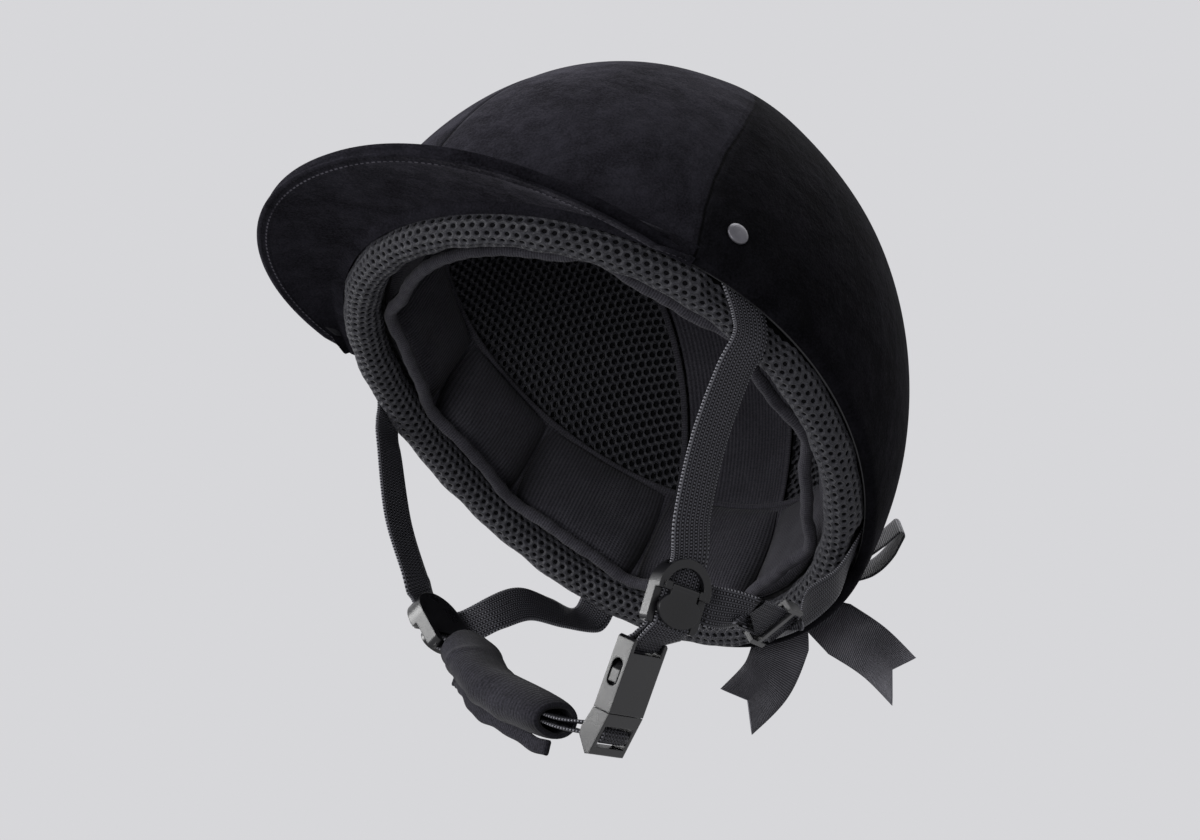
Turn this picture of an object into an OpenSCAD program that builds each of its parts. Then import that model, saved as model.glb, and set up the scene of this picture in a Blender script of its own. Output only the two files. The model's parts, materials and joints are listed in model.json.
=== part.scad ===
// Riding helmet with a velvet cover, a peak, a padded lining and a chin harness.
// Sizes are in millimetres. +Z is up to the crown, -Y is forward to the peak and +X is the
// wearer's left. The origin is the middle of the head opening, level with the front of the rim.

/* [Shell] */
// Half of the width over the ears
half_w = 109.4; // [107:0.2:112]
// Half of the length of the shell
half_d = 129.9; // [127:0.2:133]
// Half of the height of the egg shape that the shell is cut from
half_h = 150.3; // [147:0.2:154]
// Height of the widest level over the rim
centre_z = 23.3; // [21:0.1:26]
// How far the rim rises over the ears
rim_rise = 15.5; // [14:0.1:17]
// Thickness of the velvet with its backing
cover_t = 1.2; // [1:0.1:1.4]
// Thickness of the hard shell
shell_t = 3; // [2.6:0.1:3.4]
// Thickness of the foam liner
liner_t = 14.6; // [13.4:0.2:15.6]
// Air between one layer and the next
layer_gap = 0.3; // [0.2:0.05:0.4]

/* [Peak] */
// How far the peak reaches in front of the shell
peak_reach = 40.5; // [36:0.5:46]
// How far the peak tip hangs below its corners
peak_drop = 35.3; // [32:0.1:38]
// How much the middle of the peak arches over its corners
peak_arch = 8; // [6:0.1:10]
// Thickness of the stiff board in the peak
peak_board = 2.4; // [2:0.1:3]
// Radius of the soft edge of the peak
peak_edge_r = 2.6; // [2.4:0.1:2.8]

/* [Lining] */
// Radius of the mesh roll across
roll_r = 7.6; // [7:0.1:8]
// Radius of the mesh roll up and down
roll_v = 8.3; // [7.6:0.1:8.8]
// Thickness of the knit headband
band_t = 1.5; // [1.2:0.1:1.8]
// Height of the top of the headband
band_top = 60; // [57:0.5:63]
// Thickness of a comfort pad at its crown
pad_t = 7.4; // [6:0.2:8.5]
// Radius of the soft edge under the pads
piping_r = 2.6; // [2.2:0.1:3]

/* [Harness] */
// Width of the webbing
web_w = 16; // [15:0.25:17]
// Thickness of the webbing
web_t = 1.4; // [1.2:0.1:1.6]
// Half of the width of a strap divider
divider_w = 11.7; // [11.4:0.1:12.4]
// Half of the length of a strap divider
divider_l = 13.4; // [13:0.1:14]
// Length of the buckle from bar to bar
buckle_l = 37; // [36:0.25:39]
// Half of the width of the buckle
buckle_w = 10.5; // [10.3:0.1:11.2]
// Half of the thickness of the buckle
buckle_h = 4; // [3.8:0.1:4.4]
// Thickness of the chin sleeve across the strap, halved
sleeve_h = 8.6; // [8:0.1:9.4]

/* [Bow] */
// Width of the ribbon
ribbon_w = 24; // [20:0.5:26]
// Thickness of the ribbon
ribbon_t = 0.6; // [0.5:0.1:0.8]

/* [Hidden] */
// Depth under the outside of each layer's two faces
shell_out = cover_t + layer_gap;
shell_in = shell_out + shell_t;
liner_out = shell_in + layer_gap;
liner_in = liner_out + liner_t;
band_out = liner_in + layer_gap;
band_in = band_out + band_t;
pad_out = band_in + layer_gap;
fold_in = shell_in + 0.5;
fold_t = cover_t;
rim_r = ((half_w - 6) * (half_w - 6) + rim_rise * rim_rise) / (2 * rim_rise);
crown_z = centre_z + half_h;

// The straps run between the shell and the liner and leave beside the roll
strap_room = 0.9;
strap_d = fold_in + strap_room + web_t / 2;
roll_d = fold_in + 0.4 + roll_r;
roll_dent = web_t + 2 * strap_room - 0.4;
roll_lift = 2;
liner_lift = roll_lift + roll_v + 0.7;
pocket_d = strap_d + web_t / 2 + strap_room + 0.2;
front_exit_a = -15.4;
rear_exit_a = 47.6;
front_half_a = 8.5;
rear_half_a = 5.5;
strap_fade_a = 3.5;

// Where the four cover panels meet at each side, back and up, as shares of the shell's half sizes
side_seam = [
    for (p = [
        [-0.49, -0.07],
        [-0.507, -0.005],
        [-0.527, 0.09],
        [-0.533, 0.199],
        [-0.52, 0.329],
        [-0.461, 0.536],
        [-0.366, 0.79],
        [0, 1]
    ])
        [p[0] * half_d, centre_z + p[1] * half_h]
];

// Side rivet, and the hidden rivet at the back
rivet_y = -54.4;
rivet_z = 35.4;
rivet_r = 4.5;
rivet_shank = 1.8;
rear_rivet_z = 27;

// Peak outline
peak_w = half_w - 15;
peak_y = 60.5;
peak_l = half_d - peak_y + peak_reach;
peak_z = 11.9;
peak_power = 2 / 2.15;
peak_skin = cover_t;
peak_h1 = peak_skin + layer_gap;
peak_h2 = peak_h1 + peak_board;
peak_h3 = peak_h2 + layer_gap;
peak_h4 = peak_h3 + peak_skin;
peak_inset = 2 * peak_edge_r + 0.6;

// Angles of the gaps between the pads, from the wearer's left to the back
pad_gaps = [-48, -12, 18, 54, 90, 126, 162, 192, 228];
pad_gap_a = 1.5;
pad_low = 3.6;
pad_top = 54;
piping_d = pad_out + piping_r + 0.2;
piping_lift = 9 - piping_r - 0.35;
piping_lobe = 1.8;

// Crown lining
crown_seam_x = -46;
crown_knit_t = 1.4;
mesh_t = 1;
binding_r = 1.4;

// Direction along the bars of the buckle and of the far divider
bar_axis = unit([-0.08, 0.82, 0.567]);
plug_bar = [36.3, 44.2, -121.9];
bar_r = 1.3;
plug_bar_r = 1.5;
bar_room = 0.3;

// Near divider, on the wearer's left, and far divider, on the right
near_o = [68.6, 19.6, -77.6];
near_n = unit([0.93, -0.1, -0.35]);
near_y = unit(flat([0.28, -0.42, 0.863], near_n));
near_x = cross(near_y, near_n);
far_o = [-72.4, 23.6, -65.8];
far_y = unit(flat([-0.543, -0.514, 0.667], bar_axis));
far_x = -bar_axis;
far_n = cross(far_x, far_y);
divider_bar_y = divider_l - 0.1 - bar_r;
divider_bar_z = -1.9;
front_web_z = -0.6;
rear_web_z = -2.5;
far_bar = far_o - far_y * divider_bar_y + far_n * divider_bar_z;
near_bar = near_o - near_y * divider_bar_y + near_n * divider_bar_z;

// Buckle axis: the way in which the plug leaves the socket when the chin strap swings
chin_reach = unit(flat(plug_bar - far_bar, bar_axis));
buckle_down = cross(bar_axis, chin_reach);
socket_bar = plug_bar - buckle_down * buckle_l;

// Chin strap middle line and the part of it in the sleeve
chin_line = [
    far_bar,
    far_bar + chin_reach * 6,
    far_bar + chin_reach * 14 - bar_axis * 2,
    [-27.8, 31.2, -98.8],
    [12.8, 35.9, -117.9],
    plug_bar - chin_reach * 7,
    plug_bar
];
near_lead = 4;
socket_lead = 3;
sleeve_from = 1.12;
sleeve_to = 4.02;
sleeve_room = 2.2;
sleeve_hole = 6.4;

// Slider on the rear left strap
glide_o = [70, 66.5, -51.5];
glide_y = unit([0.18, -0.85, -0.49]);
glide_x = unit(flat([-0.81, 0.1, -0.56], glide_y));
glide_half = 5;
glide_travel = 12;

// Bow
knot = [0, half_d + 4.6, 39.8];
pinch = 0.5;

// Vectors
function unit(v) = v / norm(v);
function mix(a, b, t) = a + (b - a) * t;
function flat(v, n) = v - n * (v * n);
function clamp(v, low, high) = min(high, max(low, v));
function step3(t) = let (c = clamp(t, 0, 1)) c * c * (3 - 2 * c);
function away(a, b) = abs((a - b + 540) % 360 - 180);

// A point at parameter s on the smooth curve through the points p
function spline(p, s) =
    let (
        i = min(floor(s), len(p) - 2),
        t = s - i,
        a = p[max(i - 1, 0)],
        b = p[i],
        c = p[i + 1],
        d = p[min(i + 2, len(p) - 1)]
    )
    0.5 * (2 * b + (c - a) * t + (2 * a - 5 * b + 4 * c - d) * t * t
        + (3 * b - a - 3 * c + d) * t * t * t);
function sample(p, n) = [for (i = [0 : n]) spline(p, i * (len(p) - 1) / n)];

// Points on the egg shape at depth d under the outside
function egg_k(z, d) = sqrt(max(0.0001, 1 - pow((z - centre_z) / (half_h - d), 2)));
function on_egg(a, z, d) =
    [(half_w - d) * egg_k(z, d) * cos(a), (half_d - d) * egg_k(z, d) * sin(a), z];
function egg_at(y, z, d, side) =
    [side * (half_w - d) * sqrt(pow(egg_k(z, d), 2) - pow(y / (half_d - d), 2)), y, z];
function egg_out(p) =
    unit([p.x / pow(half_w, 2), p.y / pow(half_d, 2), (p.z - centre_z) / pow(half_h, 2)]);
function rim_z(x) = rim_r - sqrt(rim_r * rim_r - x * x);
function rim_point(a, d, lift) = on_egg(a, rim_z((half_w - d) * cos(a)) + lift, d);
function ring_out(a, d) = unit([cos(a) / (half_w - d), sin(a) / (half_d - d), 0]);

// Faces of a solid whose rings of m points run along a line, n rings in all
function loft_faces(n, m, closed) = concat(
    [
        for (i = [0 : n - (closed ? 1 : 2)], j = [0 : m - 1])
            let (
                a = i * m + j,
                b = i * m + (j + 1) % m,
                c = ((i + 1) % n) * m + (j + 1) % m,
                d = ((i + 1) % n) * m + j
            )
            each [[a, c, b], [a, d, c]]
    ],
    closed ? [] : cap_faces(m, 0, false),
    closed ? [] : cap_faces(m, (n - 1) * m, true)
);
function cap_list(m) = m == 6
    ? [[0, 1, 2], [0, 2, 5], [5, 2, 3], [5, 3, 4]]
    : [for (j = [1 : m - 2]) [0, j, j + 1]];
function cap_faces(m, first, turned) = [
    for (f = cap_list(m))
        turned ? [first + f[2], first + f[1], first + f[0]]
               : [first + f[0], first + f[1], first + f[2]]
];
module loft(rings, closed = false) {
    polyhedron(
        points = [for (r = rings) each r],
        faces = loft_faces(len(rings), len(rings[0]), closed),
        convexity = 8
    );
}

// Faces of a slab with an upper grid and a lower grid of points
function slab_faces(nu, nv) =
    let (w = nv + 1, low = (nu + 1) * w)
    concat(
        [
            for (i = [0 : nu - 1], j = [0 : nv - 1])
                let (a = i * w + j, b = a + 1, c = b + w, d = a + w)
                each [
                    [a, b, c], [a, c, d],
                    [low + a, low + c, low + b], [low + a, low + d, low + c]
                ]
        ],
        [
            for (i = [0 : nu - 1])
                let (a = i * w, d = a + w, b = a + nv, c = d + nv)
                each [
                    [a, d, low + d], [a, low + d, low + a],
                    [b, low + c, c], [b, low + b, low + c]
                ]
        ],
        [
            for (j = [0 : nv - 1])
                let (a = j, b = j + 1, d = nu * w + j, c = d + 1)
                each [
                    [b, a, low + a], [b, low + a, low + b],
                    [c, low + d, d], [c, low + c, low + d]
                ]
        ]
    );

// A flat strip along the points, as wide as w (a list gives each point its own) and as thick as t
function along(p, i, closed) = closed
    ? unit(p[(i + 1) % len(p)] - p[(i + len(p) - 1) % len(p)])
    : unit(p[min(i + 1, len(p) - 1)] - p[max(i - 1, 0)]);
function strip_ring(c, dir, wide, w, t, notch, level) =
    let (
        e = unit(level ? wide : flat(wide, dir)) * w / 2,
        n = unit(cross(dir, e)) * t / 2,
        m = c - dir * max(notch, 0)
    )
    notch < 0
        ? [c + e - n, c + e + n, c - e + n, c - e - n]
        : [c + e - n, c + e + n, m + n, c - e + n, c - e - n, m - n];
module strip(p, wide, w, t, closed = false, notch = -1) {
    n = len(p);
    loft([
        for (i = [0 : n - 1])
            let (cut = notch < 0 ? -1 : (i == n - 1 ? notch : 0))
            strip_ring(p[i], along(p, i, closed), wide[i], is_list(w) ? w[i] : w, t, cut, closed)
    ], closed);
}

// An endless strap round two bars, along the middle line c, all bars along the axis list w
function belt_half(f, r0, r1, bulge) = mix(r0, r1, f) + bulge * pow(sin(180 * f), 1.6);
function belt_dir(c, s) = unit(spline(c, min(s + 0.05, len(c) - 1)) - spline(c, max(s - 0.05, 0)));
function belt_side(c, s, wide) = unit(cross(wide, belt_dir(c, s)));
// The line's second and second last points are where it leaves the bars, straight off each
function belt_path(c, wide0, wide1, r0, r1, bulge, steps) =
    let (
        last = len(c) - 1,
        wides = [for (i = [0 : steps]) mix(wide0, wide1, i / steps)],
        d0 = unit(flat(c[1] - c[0], wide0)),
        d1 = unit(flat(c[last] - c[last - 1], wide1)),
        e0 = cross(wide0, d0),
        e1 = cross(wide1, d1)
    )
    concat(
        [for (a = [-90 : 30 : 90]) c[0] + r0 * (sin(a) * e0 - cos(a) * d0)],
        [
            for (i = [0 : steps])
                let (s = mix(1, last - 1, i / steps))
                spline(c, s) + belt_side(c, s, wides[i]) * belt_half(s / last, r0, r1, bulge)
        ],
        [for (a = [90 : -30 : -90]) c[last] + r1 * (sin(a) * e1 + cos(a) * d1)],
        [
            for (i = [steps : -1 : 0])
                let (s = mix(1, last - 1, i / steps))
                spline(c, s) - belt_side(c, s, wides[i]) * belt_half(s / last, r0, r1, bulge)
        ]
    );
function belt_wide(wide0, wide1, steps) = concat(
    [for (a = [-90 : 30 : 90]) wide0],
    [for (i = [0 : steps]) mix(wide0, wide1, i / steps)],
    [for (a = [-90 : 30 : 90]) wide1],
    [for (i = [steps : -1 : 0]) mix(wide0, wide1, i / steps)]
);

// Places children in a frame with origin o and first two axes ex and ey
module at_frame(o, ex, ey) {
    ez = cross(ex, ey);
    multmatrix([
        [ex.x, ey.x, ez.x, o.x],
        [ex.y, ey.y, ez.y, o.y],
        [ex.z, ey.z, ez.z, o.z],
        [0, 0, 0, 1]
    ])
        children();
}
module at_near() {
    at_frame(near_o, near_x, near_y)
        children();
}
module at_far() {
    at_frame(far_o, far_x, far_y)
        mirror([1, 0, 0])
            children();
}
module at_buckle() {
    at_frame(plug_bar, bar_axis, -buckle_down)
        children();
}
function in_near(p) = near_o + near_x * p.x + near_y * p.y + near_n * p.z;
function in_far(p) = far_o - far_x * p.x + far_y * p.y + far_n * p.z;

// The egg shape at depth d under the outside
module egg(d) {
    translate([0, 0, centre_z])
        scale([(half_w - d) / 100, (half_d - d) / 100, (half_h - d) / 100])
            sphere(r = 100, $fn = 96);
}
module above_rim(lift) {
    translate([0, 0, rim_r + lift])
        rotate([90, 0, 0])
            cylinder(r = rim_r, h = 400, center = true, $fn = 256);
}
module front_side(side) {
    mirror([side < 0 ? 1 : 0, 0, 0])
        rotate([90, 0, 90])
            linear_extrude(height = 200)
                polygon(concat([[-240, -60], [side_seam[0][0], -60]], side_seam, [[0, 240], [-240, 240]]));
}
module rear_side(side) {
    mirror([side < 0 ? 1 : 0, 0, 0])
        rotate([90, 0, 90])
            linear_extrude(height = 200)
                polygon(concat([[240, -60], [side_seam[0][0], -60]], side_seam, [[0, 240], [240, 240]]));
}
module at_rivet(y, z, d, side) {
    p = egg_at(y, z, d, side);
    n = egg_out(p);
    x = unit(cross([0, 0, 1], n));
    at_frame(p, x, cross(n, x))
        children();
}
module rear_pocket_place(side) {
    p = on_egg(rear_exit_a, rear_rivet_z, 0);
    mirror([side < 0 ? 1 : 0, 0, 0])
        translate(p)
            rotate([0, 0, atan2(egg_out(p).y, egg_out(p).x)])
                children();
}

// Hard shell
module rivet_holes(room) {
    for (side = [-1, 1]) {
        at_rivet(rivet_y, rivet_z, 0, side)
            cylinder(r = rivet_shank + room, h = 30, center = true, $fn = 32);
    }
}
module shell() {
    color("#26272b")
        difference() {
            intersection() {
                difference() {
                    egg(shell_out);
                    egg(shell_in);
                }
                above_rim(fold_t + layer_gap);
            }
            rivet_holes(0.05);
            translate([0, 0, crown_z - 20])
                cylinder(r = 2.05, h = 40, $fn = 32);
        }
}

// Foam liner with a pocket for each strap
module strap_pockets() {
    difference() {
        egg(liner_out - 0.1);
        egg(pocket_d);
    }
}
module front_pocket(side) {
    p = egg_at(rivet_y / 2 - 16.5, rivet_z / 2 + 6.5, 0, side);
    translate(p)
        rotate([44, 0, 0])
            cube([44, web_w + 3, 56], center = true);
}
module impact_liner() {
    color("#d9d6cd")
        difference() {
            intersection() {
                difference() {
                    egg(liner_out);
                    egg(liner_in);
                }
                above_rim(liner_lift);
            }
            intersection() {
                strap_pockets();
                union() {
                    front_pocket(1);
                    front_pocket(-1);
                    rear_pocket_place(1)
                        cube([30, web_w + 3, 44], center = true);
                    rear_pocket_place(-1)
                        cube([30, web_w + 3, 44], center = true);
                }
            }
        }
}

// Velvet cover: four panels that fold in under the edge of the shell
module cover_skin() {
    difference() {
        intersection() {
            egg(0);
            above_rim(0);
        }
        intersection() {
            egg(cover_t);
            above_rim(fold_t);
        }
        egg(fold_in);
        rivet_holes(0.05);
        translate([0, 0, crown_z - 20])
            cylinder(r = 2.05, h = 40, $fn = 32);
    }
}
module cover_front_left() {
    color("#1d1d22")
        intersection() {
            cover_skin();
            front_side(1);
        }
}
module cover_front_right() {
    color("#1d1d22")
        intersection() {
            cover_skin();
            front_side(-1);
        }
}
module cover_rear_left() {
    color("#1d1d22")
        intersection() {
            cover_skin();
            rear_side(1);
        }
}
module cover_rear_right() {
    color("#1d1d22")
        intersection() {
            cover_skin();
            rear_side(-1);
        }
}

// Covered button where the panels meet
module top_button() {
    color("#1d1d22")
        translate([0, 0, crown_z])
            union() {
                translate([0, 0, 0.3])
                    rotate_extrude($fn = 48)
                        polygon(concat(
                            [[0, 0], [9, -0.2]],
                            [for (a = [0 : 15 : 75]) [9 * cos(a), 0.6 + 3.4 * sin(a)]],
                            [[0, 4]]
                        ));
                translate([0, 0, -shell_in + 0.1])
                    cylinder(r = 2, h = shell_in + 0.7, $fn = 32);
            }
}

// Peak
function peak_edge(t, inset, lift) =
    let (
        s = pow(abs(sin(t)), peak_power),
        c = sign(cos(t)) * pow(abs(cos(t)), peak_power)
    )
    [
        (peak_w - inset) * c,
        -peak_y - (peak_l - inset) * s,
        peak_z - peak_drop * pow(s, 0.98) + peak_arch * (1 - c * c) + lift
    ];
peak_root_a = asin(peak_y / (half_d * egg_k(peak_z, 0)));
function peak_root(t, lift) =
    let (a = -(peak_root_a + (180 - 2 * peak_root_a) * t / 180))
    on_egg(a, rim_z(half_w * cos(a)) + 0.3 + lift, -0.35);
module peak_layer(low, high) {
    nu = 22;
    nv = 3;
    from = 8.5;
    grid = [
        for (h = [high, low], i = [0 : nu], j = [0 : nv])
            let (t = mix(from, 180 - from, i / nu), v = 1 - j / nv)
            mix(peak_root(t, h), peak_edge(t, peak_inset, h), v)
                + [0, 0, 1.2 * sin(180 * v) * sin(t)]
    ];
    polyhedron(points = grid, faces = slab_turned(slab_faces(nu, nv)), convexity = 6);
}
module peak_core() {
    color("#2b2b2f")
        peak_layer(peak_h1, peak_h2);
}
module peak_cover_top() {
    color("#1d1d22")
        peak_layer(peak_h3, peak_h4);
}
module peak_cover_under() {
    color("#1f1f24")
        peak_layer(0, peak_skin);
}
function peak_tube_r(t) = clamp((min(t, 180 - t) - 2.1) * 0.38, 0.3, peak_edge_r);
module peak_piping() {
    n = 32;
    m = 8;
    mid = peak_h4 / 2;
    color("#1d1d22")
        loft([
            for (i = [0 : n])
                let (
                    t = mix(2.4, 177.6, (1 - cos(180 * i / n)) / 2),
                    r = peak_tube_r(t),
                    c = peak_edge(t, r, mid),
                    dir = unit(peak_edge(t + 0.5, r, mid) - peak_edge(t - 0.5, r, mid)),
                    x = unit(cross(dir, [0, 0, 1])),
                    y = cross(dir, x)
                )
                [for (b = [0 : 360 / m : 359]) c + x * r * cos(b) + y * r * sin(b)]
        ]);
}

// Mesh roll round the rim, pressed in where the straps pass
function pressed(a, e, half) = 1 - step3((away(a, e) - half) / strap_fade_a);
function strap_near(a) = max(
    pressed(a, front_exit_a, front_half_a),
    pressed(a, 180 - front_exit_a, front_half_a),
    pressed(a, rear_exit_a, rear_half_a),
    pressed(a, 180 - rear_exit_a, rear_half_a)
);
module rim_roll() {
    n = 80;
    m = 10;
    color("#4b4a52")
        loft([
            for (i = [0 : n - 1])
                let (
                    a = 360 * i / n,
                    c = rim_point(a, roll_d, roll_lift),
                    out = ring_out(a, roll_d),
                    most = roll_r - roll_dent * strap_near(a)
                )
                [
                    for (j = [0 : m - 1])
                        let (b = 360 * (j + 0.5) / m)
                        c + out * min(most, roll_r * cos(b) / cos(180 / m))
                            - [0, 0, roll_v * sin(b)]
                ]
        ], true);
}

// Knit headband and the soft edge under it
module headband() {
    color("#57565e")
        difference() {
            intersection() {
                difference() {
                    egg(band_out);
                    egg(band_in);
                }
                above_rim(9);
            }
            translate([-200, -200, band_top])
                cube([400, 400, 200]);
        }
}
function pad_here(a) = min([for (g = pad_gaps) step3(away(a, g) / 12)]);
module headband_piping() {
    n = 72;
    m = 8;
    color("#57565e")
        loft([
            for (i = [0 : n - 1])
                let (
                    a = 360 * i / n,
                    d = piping_d + piping_lobe * pad_here(a),
                    c = rim_point(a, d, piping_lift),
                    out = ring_out(a, d)
                )
                [
                    for (j = [0 : m - 1])
                        let (b = 360 * j / m)
                        c + out * piping_r * cos(b) - [0, 0, piping_r * sin(b)]
                ]
        ], true);
}

// Comfort pads: a pillow on the headband from angle a0 to angle a1
function pillow(f) = pow(1 - pow(abs(2 * f - 1), 4), 0.5);
module pad(a0, a1, nu) {
    nv = 8;
    grid = [
        for (face = [0, 1], i = [0 : nu], j = [0 : nv])
            let (
                u = (1 - cos(180 * i / nu)) / 2,
                v = (1 - cos(180 * j / nv)) / 2,
                draw = 1.6 * pow(2 * v - 1, 2),
                a = mix(a0 + pad_gap_a + draw, a1 - pad_gap_a - draw, u),
                low = rim_z((half_w - pad_out) * cos(a)) + 9 + pad_low,
                z = mix(low + 1.5 * pow(2 * u - 1, 2), pad_top - 2.5 * pow(2 * u - 1, 2), v),
                lift = face == 1 ? 0 : 0.8 + (pad_t - 0.8) * pillow(u) * pillow(v)
            )
            on_egg(a, z, pad_out + lift)
    ];
    polyhedron(points = grid, faces = slab_turned(slab_faces(nu, nv)), convexity = 6);
}
function slab_turned(faces) = [for (f = faces) [f[0], f[2], f[1]]];
module brow_pad() {
    color("#5b5a62")
        pad(-132, -48, 16);
}
module temple_pad_left() {
    color("#5b5a62")
        pad(-48, -12, 9);
}
module temple_pad_right() {
    color("#5b5a62")
        pad(192, 228, 9);
}
module side_front_pad_left() {
    color("#5b5a62")
        pad(-12, 18, 9);
}
module side_front_pad_right() {
    color("#5b5a62")
        pad(162, 192, 9);
}
module side_rear_pad_left() {
    color("#5b5a62")
        pad(18, 54, 9);
}
module side_rear_pad_right() {
    color("#5b5a62")
        pad(126, 162, 9);
}
module rear_pad_left() {
    color("#5b5a62")
        pad(54, 90, 9);
}
module rear_pad_right() {
    color("#5b5a62")
        pad(90, 126, 9);
}

// Crown lining of open mesh, a knit panel on it and the binding at the panel's edge
module above_band(h) {
    translate([-200, -200, h])
        cube([400, 400, 200]);
}
module crown_lining() {
    color("#2f3036")
        intersection() {
            difference() {
                egg(band_out);
                egg(band_out + mesh_t);
            }
            above_band(band_top + 0.3);
        }
}
module crown_strap_pad() {
    color("#57565e")
        intersection() {
            difference() {
                egg(band_out + mesh_t + layer_gap);
                egg(band_out + mesh_t + layer_gap + crown_knit_t);
            }
            above_band(band_top + 0.3);
            translate([crown_seam_x + 1.8, -200, 0])
                cube([-crown_seam_x - 1.8, 400, 200]);
        }
}
module crown_binding() {
    n = 30;
    m = 6;
    d = band_out + mesh_t + layer_gap + binding_r;
    k = sqrt(1 - pow(crown_seam_x / (half_w - d), 2));
    low = asin((band_top + 2.2 - centre_z) / ((half_h - d) * k));
    color("#55545c")
        loft([
            for (i = [0 : n])
                let (
                    a = mix(low, 180 - low, i / n),
                    c = [
                        crown_seam_x,
                        (half_d - d) * k * cos(a),
                        centre_z + (half_h - d) * k * sin(a)
                    ],
                    out = egg_out(c),
                    dir = unit([0, -(half_d - d) * sin(a), (half_h - d) * cos(a)]),
                    x = unit(flat(out, dir)),
                    y = cross(dir, x)
                )
                [
                    for (j = [0 : m - 1])
                        c + x * binding_r * cos(360 * j / m) + y * binding_r * sin(360 * j / m)
                ]
        ]);
}

// Rivets
module side_rivets() {
    color("#3a3b40")
        for (side = [-1, 1]) {
            at_rivet(rivet_y, rivet_z, 0, side) {
                translate([0, 0, 0.25])
                    rotate_extrude($fn = 40)
                        polygon(concat(
                            [[0, 0], [rivet_r, 0]],
                            [for (a = [0 : 15 : 75]) [rivet_r * cos(a), 0.5 + 1.3 * sin(a)]],
                            [[0, 1.8]]
                        ));
                translate([0, 0, -strap_d - web_t / 2 - 0.8])
                    cylinder(r = rivet_shank, h = strap_d + web_t / 2 + 1.3, $fn = 32);
                translate([0, 0, -strap_d - web_t / 2 - 0.7])
                    cylinder(r = 3.4, h = 0.5, $fn = 32);
            }
        }
}
module rear_rivets() {
    p = on_egg(rear_exit_a, rear_rivet_z, 0);
    color("#3a3b40")
        for (side = [-1, 1]) {
            at_rivet(p.y, rear_rivet_z, 0, side)
                translate([0, 0, -strap_d - web_t / 2 - 0.7])
                    union() {
                        cylinder(r = rivet_shank, h = strap_d + web_t / 2 + 0.3 - shell_in, $fn = 32);
                        cylinder(r = 3.4, h = 0.5, $fn = 32);
                    }
        }
}

// Straps, flat against the shell until they leave the rim
function hidden_wide(p, side) = [
    for (i = [0 : 2])
        side * unit(cross(egg_out(p[i]), p[min(i + 1, 2)] - p[max(i - 1, 0)]))
];
module front_strap(side, under, wides) {
    hidden = [
        egg_at(rivet_y - 5, rivet_z + 5, strap_d, side),
        egg_at(-44, 24, strap_d, side),
        rim_point(side > 0 ? front_exit_a : 180 - front_exit_a, strap_d, -1)
    ];
    beside = rim_point(side > 0 ? front_exit_a + 2.5 : 177.5 - front_exit_a, strap_d, -10);
    n = 30;
    color("#2b2c31")
        strip(
            sample(concat(hidden, [beside], under), n),
            sample(concat(hidden_wide(hidden, side), [[side * 0.2, 0.88, 0.42]], wides), n),
            web_w, web_t
        );
}
module front_strap_left() {
    front_strap(1,
        [
            [93.4, -22.8, -7.5],
            [84.2, -12.1, -30.3],
            [76.6, 2.2, -54],
            in_near([0, divider_l, front_web_z]),
            in_near([0, -5.4, front_web_z])
        ],
        [
            [0.22, 0.87, 0.43],
            [0.25, 0.85, 0.46],
            near_x,
            near_x,
            near_x
        ]);
}
module front_strap_right() {
    front_strap(-1,
        [
            [-95.4, -22.8, -6],
            [-88.6, -7.4, -31.2],
            [-81, 7.4, -49.5],
            in_far([0, divider_l, front_web_z]),
            in_far([0, -5.4, front_web_z])
        ],
        [
            [-0.14, 0.86, 0.48],
            [-0.06, 0.84, 0.54],
            bar_axis,
            bar_axis,
            bar_axis
        ]);
}
module rear_strap(side, under, wides) {
    a = side > 0 ? rear_exit_a : 180 - rear_exit_a;
    hidden = [
        on_egg(a, rear_rivet_z + 7, strap_d),
        on_egg(a, 18, strap_d),
        rim_point(a, strap_d, -1)
    ];
    n = 32;
    color("#2b2c31")
        strip(
            sample(concat(hidden, under), n),
            sample(concat(hidden_wide(hidden, side), wides), n), web_w, web_t
        );
}
module rear_strap_left() {
    rear_strap(1,
        [
            [68.4, 89.6, -10],
            [66.4, 82.6, -28],
            glide_o - glide_y * (glide_half + 5),
            glide_o - glide_y * (glide_half + 1),
            glide_o + glide_y * (glide_half + glide_travel + 1),
            glide_o + glide_y * (glide_half + glide_travel + 4),
            in_near([divider_w + 6, 0, rear_web_z]),
            in_near([divider_w, 0, rear_web_z]),
            in_near([-7.5, 0, rear_web_z])
        ],
        [[-0.68, 0.73, 0], [-0.75, 0.5, -0.3], glide_x, glide_x, glide_x, glide_x,
            -near_y, -near_y, -near_y]);
}
module rear_strap_right() {
    rear_strap(-1,
        [
            [-68.6, 88.4, -7],
            [-65.4, 70, -19.5],
            [-63.5, 51.9, -30.8],
            [-64.6, 41.5, -45],
            in_far([divider_w + 6, 0, rear_web_z]),
            in_far([divider_w, 0, rear_web_z]),
            in_far([-7.5, 0, rear_web_z])
        ],
        [[0.6, 0.75, -0.2], [0.5, 0.45, -0.7], [0.4, 0.4, -0.8], [0.45, 0.45, -0.75],
            -far_y, -far_y, -far_y]);
}

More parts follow.
